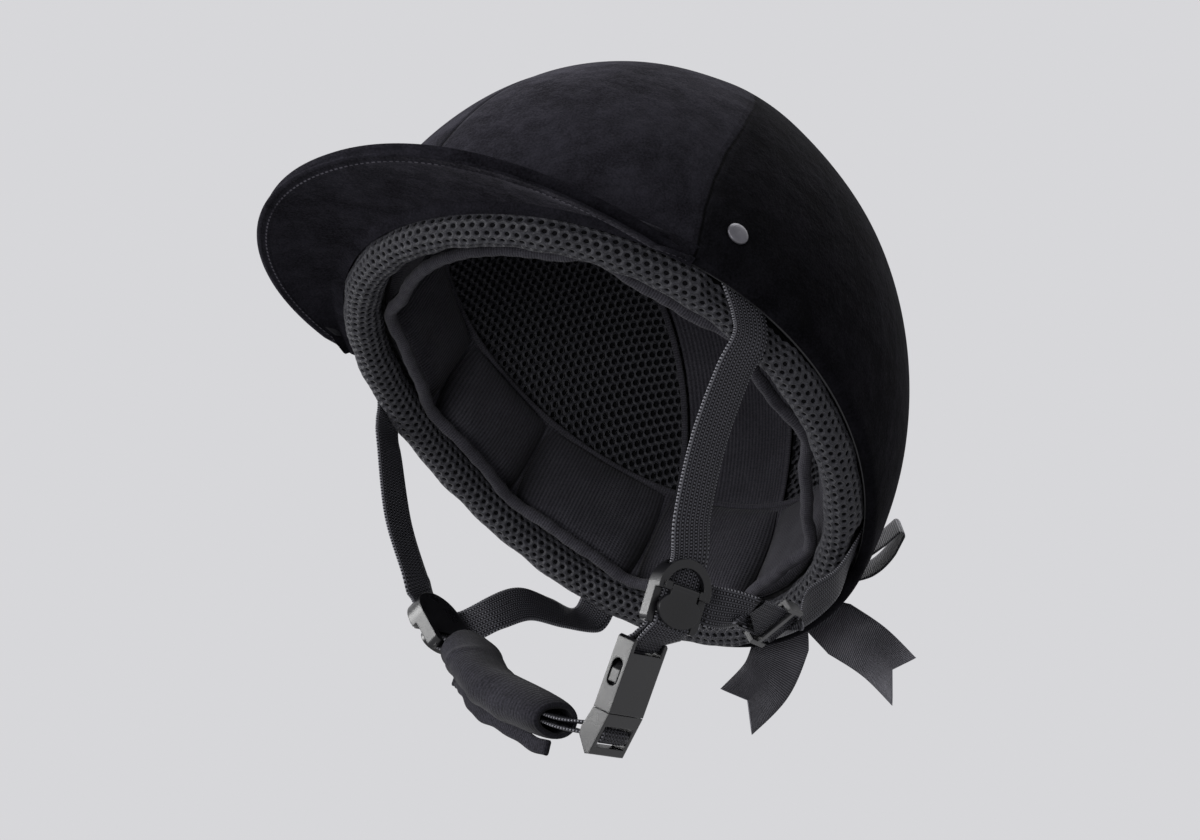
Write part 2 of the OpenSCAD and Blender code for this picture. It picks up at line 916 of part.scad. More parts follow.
// Strap divider: a frame with an arch, a bar at its foot and a lid on a pin
arch_in = 8.4;
arch_y = divider_l - divider_w;
lid_y = 1.6;
lid_z = 2.5;
pin_r = 0.8;
web_room = 0.6;
frame_low = -5;
frame_high = 3;
web_low = -3.8;
web_high = 0.5;
lid_low = 1.4;
lid_t = 2;
module divider_outline() {
    union() {
        translate([0, arch_y])
            circle(r = divider_w, $fn = 64);
        translate([-divider_w, -divider_l + 2.5])
            square([2 * divider_w, divider_l - 2.5 + arch_y]);
        translate([-divider_w + 2.5, -divider_l])
            square([2 * divider_w - 5, 5]);
        for (x = [-1, 1])
            translate([x * (divider_w - 2.5), -divider_l + 2.5])
                circle(r = 2.5, $fn = 32);
    }
}
module divider_frame() {
    wall = web_w / 2 + web_room;
    union() {
        difference() {
            translate([0, 0, frame_low])
                linear_extrude(height = frame_high - frame_low)
                    divider_outline();
            translate([-wall, -30, web_low])
                cube([2 * wall, 60, web_high - web_low]);
            translate([0, -wall, web_low])
                cube([30, 2 * wall, -1 - web_low]);
            translate([-30, -30, web_high])
                cube([60, 30, 10]);
            translate([0, 0, web_high])
                linear_extrude(height = 10)
                    union() {
                        translate([0, arch_y])
                            circle(r = arch_in, $fn = 64);
                        translate([-arch_in, -20])
                            square([2 * arch_in, 20 + arch_y]);
                    }
            translate([-wall, -30, -10])
                cube([2 * wall, 30 - divider_bar_y + bar_r + bar_room + web_t + 0.4, 20]);
        }
        translate([-divider_w + 1, -divider_bar_y, divider_bar_z])
            rotate([0, 90, 0])
                cylinder(r = bar_r, h = 2 * divider_w - 2, $fn = 32);
        difference() {
            for (x = [-1, 1])
                translate([x * 7.9 - 1.5, lid_y - 1.5, web_high])
                    cube([3, 3, lid_z + 1.4 - web_high]);
            translate([-15, lid_y, lid_z])
                rotate([0, 90, 0])
                    cylinder(r = pin_r + 0.05, h = 30, $fn = 32);
        }
    }
}
module divider_cap() {
    difference() {
        union() {
            translate([0, -6.5, lid_low])
                linear_extrude(height = lid_t)
                    scale([9.2 / 6.6, 1])
                        circle(r = 6.6, $fn = 64);
            translate([-6, -1.6, lid_low])
                cube([12, 3, lid_t]);
            translate([-6, lid_y, lid_z])
                rotate([0, 90, 0])
                    cylinder(r = 1.4, h = 12, $fn = 32);
        }
        translate([-10, lid_y, lid_z])
            rotate([0, 90, 0])
                cylinder(r = pin_r, h = 20, $fn = 32);
    }
}
module divider_pin() {
    half = arch_in - 0.1;
    translate([-half, lid_y, lid_z])
        rotate([0, 90, 0])
            cylinder(r = pin_r, h = 2 * half, $fn = 32);
}
module divider_frame_left() {
    color("#3a3b40")
        at_near()
            divider_frame();
}
module divider_frame_right() {
    color("#3a3b40")
        at_far()
            divider_frame();
}
module divider_cap_left() {
    color("#45464c")
        at_near()
            divider_cap();
}
module divider_cap_right() {
    color("#45464c")
        at_far()
            divider_cap();
}
module divider_pin_left() {
    color("#55565c")
        at_near()
            divider_pin();
}
module divider_pin_right() {
    color("#55565c")
        at_far()
            divider_pin();
}

// Slider on the rear left strap: two end bars over the webbing and one bar under it
module triglide_left() {
    inner = web_w / 2 + 0.8;
    outer = inner + 2;
    color("#3a3b40")
        at_frame(glide_o, glide_x, glide_y)
            union() {
                for (x = [-1, 1])
                    translate([x * (inner + outer) / 2, 0, 0])
                        cube([outer - inner, 2 * glide_half, 5], center = true);
                for (y = [-1, 1])
                    translate([0, y * (glide_half - 1), 1.8])
                        cube([2 * outer, 2, 1.4], center = true);
                translate([0, 0, -1.8])
                    cube([2 * outer, 2.4, 1.4], center = true);
            }
}

// Buckle, drawn with the plug bar at the origin, the socket up +Y and the outer face at +Z
split_y = buckle_l * 0.25;
socket_top = buckle_l + 1.8;
cavity_w = 8.4;
cavity_h = 2.3;
cavity_top = buckle_l - 5.4;
window_low = split_y + 10;
window_high = split_y + 21;
arm_y = split_y - 1.6;
arm_x = 7.2;
module side_window() {
    r = cavity_h + 0.3;
    translate([0, window_low + r])
        circle(r = r, $fn = 32);
    translate([0, window_high - r])
        circle(r = r, $fn = 32);
    translate([-r, window_low + r])
        square([2 * r, window_high - window_low - 2 * r]);
}
module buckle_socket() {
    slot = web_w / 2 + 0.6;
    loop = bar_r + bar_room + web_t + 0.4;
    color("#3f4046")
        at_buckle()
            difference() {
                translate([0, 0, -buckle_h])
                    linear_extrude(height = 2 * buckle_h)
                        polygon([
                            [-buckle_w, split_y + 0.3],
                            [buckle_w, split_y + 0.3],
                            [buckle_w, socket_top - 1],
                            [buckle_w - 1, socket_top],
                            [-buckle_w + 1, socket_top],
                            [-buckle_w, socket_top - 1]
                        ]);
                translate([-cavity_w, 0, -cavity_h])
                    cube([2 * cavity_w, cavity_top, 2 * cavity_h]);
                for (x = [-1, 1])
                    translate([x * 12, 0, 0])
                        rotate([0, 90, 0])
                            linear_extrude(height = 12, center = true)
                                side_window();
                difference() {
                    translate([-slot, buckle_l - loop, -20])
                        cube([2 * slot, loop + 10, 40]);
                    translate([-slot - 1, buckle_l, 0])
                        rotate([0, 90, 0])
                            cylinder(r = bar_r, h = 2 * slot + 2, $fn = 32);
                }
            }
}
module buckle_plug() {
    slot = web_w / 2 + 0.5;
    low = plug_bar_r + bar_room + web_t + 1.4;
    high = plug_bar_r + bar_room + web_t + 1;
    swing = 0.62;
    color("#3f4046")
        at_buckle()
            union() {
                difference() {
                    rotate([90, 0, 90])
                        linear_extrude(height = 2 * buckle_w, center = true)
                            polygon([
                                [split_y, buckle_h],
                                [split_y, -buckle_h],
                                [0.5, -buckle_h - 2.4],
                                [-2.5, -buckle_h - 2],
                                [-8.2, -0.6],
                                [-7.6, 1.2]
                            ]);
                    rotate([90, 0, 90])
                        linear_extrude(height = 2 * slot, center = true)
                            polygon([
                                [-low, 12],
                                [-low, -12],
                                [high + 12 * swing, -12],
                                [high, 0],
                                [high, 12]
                            ]);
                    for (x = [-1, 1])
                        translate([x * arm_x - 1.9, split_y - 3.2, -2.4])
                            cube([3.8, 5, 4.8]);
                }
                translate([-slot - 0.5, 0, 0])
                    rotate([0, 90, 0])
                        cylinder(r = plug_bar_r, h = 2 * slot + 1, $fn = 32);
                translate([-2.2, split_y - 1, -1.5])
                    cube([4.4, 13, 3]);
            }
}
module buckle_arm(side) {
    tip = split_y + 19.5;
    color("#4a4b51")
        at_buckle()
            translate([0, 0, -1.9])
                linear_extrude(height = 3.8)
                    polygon([
                        [side * 6.2, arm_y - 1.2],
                        [side * 8.1, arm_y - 1.2],
                        [side * 8.1, window_low + 1.2],
                        [side * (buckle_w - 0.3), window_low + 1.6],
                        [side * (buckle_w - 0.3), tip - 3],
                        [side * 8.1, tip],
                        [side * 6.6, tip]
                    ]);
}
module buckle_arm_front() {
    buckle_arm(-1);
}
module buckle_arm_back() {
    buckle_arm(1);
}

// Webbing from the near divider to the socket, and the chin strap
module buckle_strap() {
    steps = 3;
    r = bar_r + bar_room + web_t / 2;
    gap = socket_bar - near_bar;
    line = [
        near_bar,
        near_bar + unit(flat(gap, near_x)) * near_lead,
        socket_bar - unit(flat(gap, bar_axis)) * socket_lead,
        socket_bar
    ];
    color("#2b2c31")
        strip(
            belt_path(line, near_x, bar_axis, r, r, -0.8, steps),
            belt_wide(near_x, bar_axis, steps), web_w, web_t, true
        );
}
module chin_strap() {
    steps = 16;
    r0 = bar_r + bar_room + web_t / 2;
    r1 = plug_bar_r + bar_room + web_t / 2;
    color("#2b2c31")
        strip(
            belt_path(chin_line, bar_axis, bar_axis, r0, r1, -1.3, steps),
            belt_wide(bar_axis, bar_axis, steps), web_w, web_t, true
        );
}

// Padded sleeve on the chin strap and the hem along its lower side
function sleeve_ring(s, wide, high, fold, m) =
    let (
        c = spline(chin_line, s),
        dir = belt_dir(chin_line, s),
        x = unit(flat(bar_axis, dir)),
        y = cross(dir, x)
    )
    [
        for (j = [0 : m - 1])
            let (b = 360 * (j + 0.5) / m, f = 1 + fold * cos(b * 2 + s * 300))
            c + x * wide * f * cos(b) + y * high * f * sin(b)
    ];
module chin_sleeve() {
    n = 18;
    m = 12;
    rings = [
        for (part = [0, 1], i = [0 : n])
            let (s = mix(sleeve_from, sleeve_to, i / n), end = pow(abs(2 * i / n - 1), 8))
            part == 0
                ? sleeve_ring(s, web_w / 2 + 4.6 - 0.6 * end, sleeve_h - 1.4 * end, 0.04, m)
                : sleeve_ring(s, web_w / 2 + sleeve_room, sleeve_hole, 0, m)
    ];
    count = (n + 1) * m;
    faces = concat(
        [
            for (i = [0 : n - 1], j = [0 : m - 1])
                let (a = i * m + j, b = i * m + (j + 1) % m, c = b + m, d = a + m)
                each [
                    [a, c, b], [a, d, c],
                    [count + a, count + b, count + c], [count + a, count + c, count + d]
                ]
        ],
        [
            for (j = [0 : m - 1])
                let (a = j, b = (j + 1) % m, c = n * m + a, d = n * m + b)
                each [
                    [a, b, count + b], [a, count + b, count + a],
                    [c, count + d, d], [c, count + c, count + d]
                ]
        ]
    );
    color("#6a6971")
        polyhedron(points = [for (r = rings) each r], faces = faces, convexity = 10);
}
module sleeve_hem() {
    n = 14;
    hem_w = 8;
    s0 = sleeve_from + 0.03;
    s1 = sleeve_to - 0.02;
    line = [
        for (i = [0 : n])
            let (s = mix(s0, s1, i / n))
            spline(chin_line, s)
                + belt_side(chin_line, s, bar_axis) * (sleeve_h * 1.04 + 0.35 + hem_w / 2)
    ];
    wide = [for (i = [0 : n]) belt_side(chin_line, mix(s0, s1, i / n), bar_axis)];
    color("#6a6971")
        strip(line, wide, hem_w, 2);
}

// Ribbon bow at the back
module bow_loop(side) {
    steps = 7;
    line = [
        knot + [side * 10.2, 0.4, 4.2],
        knot + [side * 15, 1.2, 7],
        knot + [side * 27, 3, 14],
        knot + [side * 39, 1, 21.5],
        knot + [side * 46, -2, 26]
    ];
    wide = unit([-side * 0.47, 0, 0.88]);
    spread = concat(
        [for (a = [-90 : 30 : 90]) pinch],
        [for (i = [0 : steps]) mix(pinch, 1, min(1, 0.2 + 1.8 * i / steps))],
        [for (a = [-90 : 30 : 90]) 1],
        [for (i = [steps : -1 : 0]) mix(pinch, 1, min(1, 0.2 + 1.8 * i / steps))]
    );
    color("#6f6e76")
        strip(
            belt_path(line, wide, wide, 1.2, 2.2, 4.2, steps),
            belt_wide(wide, wide, steps), spread * ribbon_w, ribbon_t, true
        );
}
module bow_loop_left() {
    bow_loop(1);
}
module bow_loop_right() {
    bow_loop(-1);
}
module bow_tail(points, wides) {
    n = 10;
    spread = [for (i = [0 : n]) mix(pinch, 1, min(1, 3 * i / n))];
    color("#6f6e76")
        strip(sample(points, n), sample(wides, n), spread * ribbon_w, ribbon_t, false, 9);
}
module bow_tail_left() {
    bow_tail(
        [
            knot + [4.7, 2.9, -11],
            knot + [19, 11, -17],
            knot + [36, 19, -26],
            knot + [52.5, 25.5, -39.3]
        ],
        [
            [-0.3, 0.5, -0.8],
            [-0.45, 0.55, -0.7],
            [-0.6, 0.55, -0.6],
            [-0.634, 0.54, -0.555]
        ]
    );
}
module bow_tail_right() {
    bow_tail(
        [
            knot + [-3.3, 1.9, -9.8],
            knot + [-8, 8, -22],
            knot + [-9.5, 10, -42],
            knot + [-11, 3, -65.5]
        ],
        [
            [1, 0.3, 0],
            [0.7, 0.7, 0],
            [0.4, 0.9, 0],
            [0.2, 0.98, 0]
        ]
    );
}
module bow_knot() {
    color("#6f6e76")
        translate(knot)
            scale([0.9, 0.48, 1.1])
                sphere(r = 9.6, $fn = 48);
}

shell();
impact_liner();
cover_front_left();
cover_front_right();
cover_rear_left();
cover_rear_right();
top_button();
peak_core();
peak_cover_top();
peak_cover_under();
peak_piping();
rim_roll();
headband();
headband_piping();
brow_pad();
temple_pad_left();
temple_pad_right();
side_front_pad_left();
side_front_pad_right();
side_rear_pad_left();
side_rear_pad_right();
rear_pad_left();
rear_pad_right();
crown_lining();
crown_strap_pad();
crown_binding();
side_rivets();
rear_rivets();
front_strap_left();
front_strap_right();
rear_strap_left();
rear_strap_right();
divider_frame_left();
divider_frame_right();
divider_cap_left();
divider_cap_right();
divider_pin_left();
divider_pin_right();
triglide_left();
buckle_strap();
buckle_socket();
buckle_plug();
buckle_arm_front();
buckle_arm_back();
chin_strap();
chin_sleeve();
sleeve_hem();
bow_loop_left();
bow_loop_right();
bow_tail_left();
bow_tail_right();
bow_knot();
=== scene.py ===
import json
import math

import bmesh
import bpy
import numpy as np
from mathutils import Matrix, Vector

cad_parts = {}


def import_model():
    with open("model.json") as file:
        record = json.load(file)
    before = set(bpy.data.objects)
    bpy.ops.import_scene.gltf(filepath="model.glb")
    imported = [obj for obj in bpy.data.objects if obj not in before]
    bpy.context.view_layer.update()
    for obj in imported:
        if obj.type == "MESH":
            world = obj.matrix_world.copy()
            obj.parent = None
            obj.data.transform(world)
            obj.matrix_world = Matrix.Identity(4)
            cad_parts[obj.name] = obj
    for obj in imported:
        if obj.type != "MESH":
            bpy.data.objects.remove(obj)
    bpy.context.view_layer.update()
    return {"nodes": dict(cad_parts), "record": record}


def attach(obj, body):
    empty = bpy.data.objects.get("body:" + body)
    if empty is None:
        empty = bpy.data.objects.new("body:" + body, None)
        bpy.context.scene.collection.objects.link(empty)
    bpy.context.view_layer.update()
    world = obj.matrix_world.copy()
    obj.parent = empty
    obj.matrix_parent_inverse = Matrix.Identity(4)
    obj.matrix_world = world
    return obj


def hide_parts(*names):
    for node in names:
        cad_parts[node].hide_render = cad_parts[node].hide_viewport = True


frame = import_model()

# Sizes of the part, in mm
HALF = np.array([109.4, 129.9, 150.3])
CENTRE_Z = 23.3
RIM_RISE = 15.5
RIM_HALF = HALF[0] - 6
RIM_R = (RIM_HALF ** 2 + RIM_RISE ** 2) / (2 * RIM_RISE)
FOLD_IN = 5.0
ROLL_R = 7.6
ROLL_V = 8.3
WEB_W = 16.0
WEB_T = 1.4
WEB_RIB = 1.3
WEB_COLUMN = 1.0
RIBBON_W = 24.0
RIBBON_T = 0.6
RIBBON_RIB = 0.95
STITCH_L = 2.6
BEAD = 3.0
BAR_R = 1.3
PLUG_BAR_R = 1.5
BAR_ROOM = 0.3
# A distance in mm that no seam or stitch reaches
FAR = 50.0
# Angles in degrees of a strap's turn round a bar
ARC = range(-90, 91, 15)


def unit(v):
    v = np.asarray(v, float)
    return v / np.linalg.norm(v, axis=-1, keepdims=True)


def mix(a, b, t):
    return np.asarray(a) + (np.asarray(b) - np.asarray(a)) * t


def flat(v, n):
    """The vector v without its part along n."""
    v = np.asarray(v, float)
    return v - n * (v @ n)


def smooth(t):
    c = np.clip(t, 0, 1)
    return c * c * (3 - 2 * c)


def eased(n):
    """n steps from 0 to 1 that are shortest at both ends."""
    return (1 - np.cos(np.linspace(0, math.pi, n + 1))) / 2


def turn_gap(a, b):
    """Degrees between two directions round the head, at most 180."""
    return abs((a - b + 540) % 360 - 180)


def xyz(x, y, z):
    """Points from three coordinates, numbers or arrays that fit."""
    return np.stack(np.broadcast_arrays(x, y, z), -1)


def spline(p, s):
    """The point at parameter s on the smooth curve through the points p."""
    p = np.asarray(p, float)
    i = min(int(s), len(p) - 2)
    t = s - i
    a, b, c, d = p[max(i - 1, 0)], p[i], p[i + 1], p[min(i + 2, len(p) - 1)]
    return 0.5 * (2 * b + (c - a) * t + (2 * a - 5 * b + 4 * c - d) * t * t
                  + (3 * b - a - 3 * c + d) * t ** 3)


def sample(p, n):
    """n + 1 points spread over the same curve."""
    return np.array([spline(p, i * (len(p) - 1) / n) for i in range(n + 1)])


# The egg shape of the shell, at depth d under its outside. Angles go round the head in degrees
def egg_k(z, d):
    """The width of the egg at height z, as a share of its greatest width."""
    return np.sqrt(np.maximum(0.0001, 1 - ((z - CENTRE_Z) / (HALF[2] - d)) ** 2))


def on_egg(a, z, d):
    a = np.radians(a)
    k = egg_k(z, d)
    return xyz((HALF[0] - d) * k * np.cos(a), (HALF[1] - d) * k * np.sin(a), z)


def egg_at(y, z, d, side):
    """On the left with side 1, on the right with side -1."""
    x = (HALF[0] - d) * math.sqrt(egg_k(z, d) ** 2 - (y / (HALF[1] - d)) ** 2)
    return np.array([side * x, y, z])


def egg_out(p):
    return unit((np.asarray(p) - [0, 0, CENTRE_Z]) / HALF ** 2)


def rim_z(x):
    """Height of the rim, lowest in the middle."""
    return RIM_R - np.sqrt(RIM_R ** 2 - x ** 2)


def rim_point(a, d, lift):
    return on_egg(a, rim_z((HALF[0] - d) * np.cos(np.radians(a))) + lift, d)


def ring_out(a, d):
    a = np.radians(a)
    return unit(xyz(np.cos(a) / (HALF[0] - d), np.sin(a) / (HALF[1] - d), 0.0))


# Meshes
def surface(name, grid, u_mm, v_mm, material, close_u=False, close_v=False, values=None):
    """A smooth mesh through a grid of points in mm.

    Its UVs are lengths in mm, or even steps of u_mm and v_mm, so a weave has its real size.
    """
    grid = np.asarray(grid, float)
    rows, cols = grid.shape[:2]
    i, j = np.meshgrid(np.arange(rows if close_u else rows - 1),
                       np.arange(cols if close_v else cols - 1), indexing="ij")
    i, j = i.ravel(), j.ravel()
    corners = ((0, 0), (1, 0), (1, 1), (0, 1))
    faces = np.stack([(i + p) % rows * cols + (j + q) % cols for p, q in corners], 1)
    mesh = bpy.data.meshes.new(name)
    mesh.from_pydata((grid.reshape(-1, 3) / 1000).tolist(), [], faces.tolist())
    u = np.arange(rows + 1) * u_mm if np.isscalar(u_mm) else np.asarray(u_mm, float)
    v = np.arange(cols + 1) * v_mm if np.isscalar(v_mm) else np.asarray(v_mm, float)
    uv = np.stack([np.stack([u[i + p], v[j + q]], 1) for p, q in corners], 1)
    mesh.uv_layers.new(name="mm").data.foreach_set("uv", uv.astype(np.float32).ravel())
    for key, value in (values or {}).items():
        layer = mesh.attributes.new(key, "FLOAT", "POINT")
        layer.data.foreach_set("value", np.asarray(value, np.float32).ravel())
    return piece(name, mesh, material)


def edit_mesh(mesh, change):
    bm = bmesh.new()
    bm.from_mesh(mesh)
    change(bm)
    bm.to_mesh(mesh)
    bm.free()


def face_out(bm):
    bmesh.ops.recalc_face_normals(bm, faces=bm.faces)


def in_scene(name, data):
    obj = bpy.data.objects.new(name, data)
    bpy.context.scene.collection.objects.link(obj)
    return obj


def piece(name, mesh, material):
    edit_mesh(mesh, face_out)
    mesh.update()
    mesh.shade_smooth()
    mesh.materials.append(material)
    return in_scene(name, mesh)


def lengths(points):
    """Distance in mm along a line of points, starting at 0."""
    step = np.linalg.norm(np.diff(points, axis=0), axis=1)
    return np.concatenate([[0], np.cumsum(step)])


def around(points):
    """The same for a closed line, back to its start."""
    return lengths(np.concatenate([points, points[:1]]))


def ways_along(line, closed):
    """The direction at each point, from the point before it to the point after it."""
    if closed:
        return unit(np.roll(line, -1, 0) - np.roll(line, 1, 0))
    return unit(np.concatenate([line[1:], line[-1:]]) - np.concatenate([line[:1], line[:-1]]))


def tube(name, line, radius, material, sides, closed=False):
    """A round tube along a line, open at both ends or closed to a ring."""
    radius = np.broadcast_to(radius, (len(line),))
    way = ways_along(line, closed)
    x = unit(np.cross(way, (0, 0, 1)))
    y = np.cross(way, x)
    b = np.arange(sides) * 2 * math.pi / sides
    ring = x[:, None] * np.cos(b)[None, :, None] + y[:, None] * np.sin(b)[None, :, None]
    grid = line[:, None] + ring * radius[:, None, None]
    u = around(line) if closed else lengths(line)
    v = np.arange(sides + 1) * 2 * math.pi * radius.max() / sides
    return surface(name, grid, u, v, material, closed, True)


# Strips: points across one face, share of the thickness at the edge, and notch depths it draws in over
ACROSS = 9
EDGE_SHARE = 0.4
NOTCH_REACH = 2.6


def strip_grid(centres, ways, wides, widths, thick, closed, notch):
    """Rings of a flat band: across one face and back across the other."""
    to_end = np.zeros(len(centres)) if closed else lengths(centres[::-1])[::-1]
    draw = np.clip(1 - to_end / max(NOTCH_REACH * notch, 0.01), 0, 1)
    half = np.linspace(-1, 1, ACROSS)
    across = np.concatenate([half, -half])
    edge = np.where(abs(half) > 0.99, EDGE_SHARE, 1.0)
    side = np.concatenate([edge, -edge])
    rings = []
    for k, (c, way) in enumerate(zip(centres, ways)):
        e = unit(wides[k] if closed else flat(wides[k], way))
        n = unit(np.cross(way, e))
        cut = notch * draw[k] * (1 - abs(across))
        rings.append(c + e * (across * widths[k] / 2)[:, None] + n * (side * thick / 2)[:, None]
                     - way * cut[:, None])
    return np.array(rings)


def strip(name, points, wides, width, thick, material, closed=False, notch=0.0):
    """A band of webbing or ribbon along the points, its width lying along wides."""
    widths = np.broadcast_to(width, (len(points),))
    grid = strip_grid(points, ways_along(points, closed), wides, widths, thick, closed, notch)
    w = float(widths.max())
    v = np.concatenate([np.linspace(0, w, ACROSS), np.linspace(w, 0, ACROSS), [0]])
    u = around(points) if closed else lengths(points)
    obj = surface(name, grid, u, v, material, closed, True)
    if not closed:
        cap_strip(obj, len(points))
    return obj


def cap_strip(obj, rings):
    """Closes both ends of a strip from face to face, so that a notch stays open."""
    ring = 2 * ACROSS

    def caps(bm):
        bm.verts.ensure_lookup_table()
        for first in (0, (rings - 1) * ring):
            for i in range(ACROSS - 1):
                bm.faces.new([bm.verts[first + k] for k in (i, i + 1, ring - 2 - i, ring - 1 - i)])
        face_out(bm)

    edit_mesh(obj.data, caps)
    obj.data.shade_smooth()


def close_ends(obj):
    edit_mesh(obj.data, lambda bm: bmesh.ops.holes_fill(
        bm, edges=[e for e in bm.edges if e.is_boundary], sides=0))
    obj.data.shade_smooth()


# Materials
def linear(text):
    """A colour written as sRGB hex digits, as linear values."""
    parts = [int(text[i:i + 2], 16) / 255 for i in (0, 2, 4)]
    return [c / 12.92 if c <= 0.04045 else ((c + 0.055) / 1.055) ** 2.4 for c in parts] + [1.0]


def add(tree, kind, inputs=(), **settings):
    """Adds a shader node, sets its properties, and links or sets its inputs."""
    made = tree.nodes.new("ShaderNode" + kind)
    for key, value in settings.items():
        setattr(made, key, value)
    put(tree, made, dict(inputs))
    return made


def maths(tree, operation, a, b=0.0, c=0.0):
    return add(tree, "Math", {0: a, 1: b, 2: c}, operation=operation).outputs[0]


def weigh(tree, a, part_a, b, part_b):
    """The sum of a and b, each times its part."""
    return maths(tree, "MULTIPLY_ADD", a, part_a, maths(tree, "MULTIPLY", b, part_b))


def blend_colour(tree, factor, a, b):
    """From a at 0 to b at 1, each the colour of a node or hex digits."""
    a, b = (linear(colour) if isinstance(colour, str) else colour for colour in (a, b))
    return add(tree, "Mix", {0: factor, 6: a, 7: b}, data_type="RGBA").outputs[2]


def start(name):
    mat = bpy.data.materials.new(name)
    mat.use_nodes = True
    tree = mat.node_tree
    return mat, tree, tree.nodes["Principled BSDF"]


def put(tree, shader, inputs):
    for key, value in inputs.items():
        if isinstance(value, bpy.types.NodeSocket):
            tree.links.new(value, shader.inputs[key])
        else:
            shader.inputs[key].default_value = value


def mm_uv(tree):
    """The two UV lengths in mm."""
    uv = add(tree, "UVMap", uv_map="mm")
    both = add(tree, "SeparateXYZ", {0: uv.outputs[0]})
    return both.outputs[0], both.outputs[1]


def place_mm(tree):
    """The place on the part in mm."""
    coords = add(tree, "TexCoord")
    return add(tree, "VectorMath", {0: coords.outputs["Object"], 3: 1000.0}, operation="SCALE").outputs[0]


def noise(tree, size_mm, detail=3.0, rough=0.55):
    return add(tree, "TexNoise", {
        "Vector": place_mm(tree), "Scale": 1 / size_mm, "Detail": detail, "Roughness": rough}).outputs[0]


def mark(tree, name):
    """A number that the mesh carries at each point."""
    return add(tree, "Attribute", attribute_name=name).outputs["Fac"]


def wave(tree, where, pitch_mm):
    """A smooth ridge every pitch_mm, from 0 to 1."""
    turn = maths(tree, "MULTIPLY", where, 2 * math.pi / pitch_mm)
    return maths(tree, "MULTIPLY_ADD", maths(tree, "COSINE", turn), 0.5, 0.5)


def levels(tree, value, low, high, out_low=0.0, out_high=1.0):
    return add(tree, "MapRange", {0: value, 1: low, 2: high, 3: out_low, 4: out_high}).outputs[0]


def bump(tree, height, mm, normal=None):
    """A bump whose height input from 0 to 1 is mm high."""
    inputs = {"Height": height, "Distance": mm / 1000, "Strength": 1.0}
    if normal is not None:
        inputs["Normal"] = normal
    return add(tree, "Bump", inputs).outputs[0]


def stitches(tree, stitch, cloud):
    """How much of the thread shows on the stitch line."""
    along = levels(tree, wave(tree, mm_uv(tree)[0], STITCH_L), 0.3, 0.5)
    seen = maths(tree, "MULTIPLY", levels(tree, stitch, 0.12, 0.3, 0.8, 0.0), along)
    return maths(tree, "MULTIPLY", seen, levels(tree, cloud, 0.1, 0.7, 0.15, 1.0))


def velvet():
    """Short cotton pile: near black, with patches where it lies another way; painted light on the front
    panels makes them lighter, with stronger patches.
    """
    mat, tree, shader = start("cotton_velvet")
    cloud = levels(tree, noise(tree, 30, 3, 0.55), 0.36, 0.66)
    crush = levels(tree, noise(tree, 9, 3, 0.6), 0.4, 0.68)
    pile = noise(tree, 0.9, 4, 0.65)
    front = mark(tree, "front")
    marks = weigh(tree, crush, 0.45, cloud, 0.55)
    marks = maths(tree, "MULTIPLY_ADD", levels(tree, pile, 0.35, 0.65, -0.5, 0.5), 0.8, marks)
    # Painted light: the patches show more strongly on the front panels, and their colour is lifted
    marks = maths(tree, "MULTIPLY", marks, levels(tree, front, 0, 1, 0.22, 0.55))
    tone = maths(tree, "MULTIPLY_ADD", front, 0.32, marks)
    colour = blend_colour(tree, levels(tree, tone, 0.0, 0.85), "070709", "2c2b32")
    seam = maths(tree, "ABSOLUTE", mark(tree, "seam_mm"))
    colour = blend_colour(tree, levels(tree, seam, 0.25, 0.9), "040405", colour)
    stitch = maths(tree, "ABSOLUTE", mark(tree, "stitch_mm"))
    colour = blend_colour(tree, stitches(tree, stitch, cloud), colour, "605e66")
    normal = bump(tree, levels(tree, seam, 0.0, 2.4), 0.9)
    normal = bump(tree, levels(tree, stitch, 0.0, 1.6), 0.35, normal)
    normal = bump(tree, crush, 0.3, normal)
    normal = bump(tree, pile, 0.22, normal)
    put(tree, shader, {
        "Base Color": colour, "Roughness": 0.95, "Specular IOR Level": 0.03, "Normal": normal,
        "Sheen Weight": levels(tree, tone, 0.05, 0.8, 0.02, 0.14),
        "Sheen Roughness": 0.35, "Sheen Tint": linear("b9b6c4"),
    })
    return mat


def knit(name, dark, light, rib_mm, rib_height, rib_tone=0.45):
    """Fine ribbed jersey with heathered yarn, with painted shade where the mesh is marked as a fold."""
    mat, tree, shader = start(name)
    u, v = mm_uv(tree)
    rib = wave(tree, u, rib_mm)
    row = wave(tree, v, rib_mm * 0.8)
    heather = noise(tree, 0.9, 3, 0.7)
    shade = noise(tree, 22, 2)
    tone = weigh(tree, rib, rib_tone, levels(tree, heather, 0.3, 0.7), 1 - rib_tone)
    colour = blend_colour(tree, tone, dark, light)
    colour = blend_colour(tree, levels(tree, shade, 0.4, 0.7, 0.0, 0.35), colour, dark)
    # Painted shade: darker where the mesh marks a fold between pads
    fold = levels(tree, mark(tree, "fold"), 0.25, 1.0, 0.0, 0.9)
    colour = blend_colour(tree, fold, colour, "09090b")
    stitch = weigh(tree, row, 0.35, rib, 0.65)
    normal = bump(tree, heather, 0.15, bump(tree, stitch, rib_height))
    put(tree, shader, {
        "Base Color": colour, "Roughness": 0.9, "Specular IOR Level": 0.05, "Normal": normal,
        "Sheen Weight": 0.08, "Sheen Roughness": 0.5,
    })
    return mat


def mesh_yarn():
    """Polyester yarn of the open mesh: fine filaments with a dull shine."""
    mat, tree, shader = start("polyester_mesh")
    grain = noise(tree, 0.5, 3, 0.7)
    colour = blend_colour(tree, levels(tree, grain, 0.3, 0.7), "141418", "434349")
    put(tree, shader, {
        "Base Color": colour, "Roughness": 0.42, "Specular IOR Level": 0.22,
        "Normal": bump(tree, grain, 0.25), "Sheen Weight": 0.1, "Sheen Roughness": 0.4,
    })
    return mat


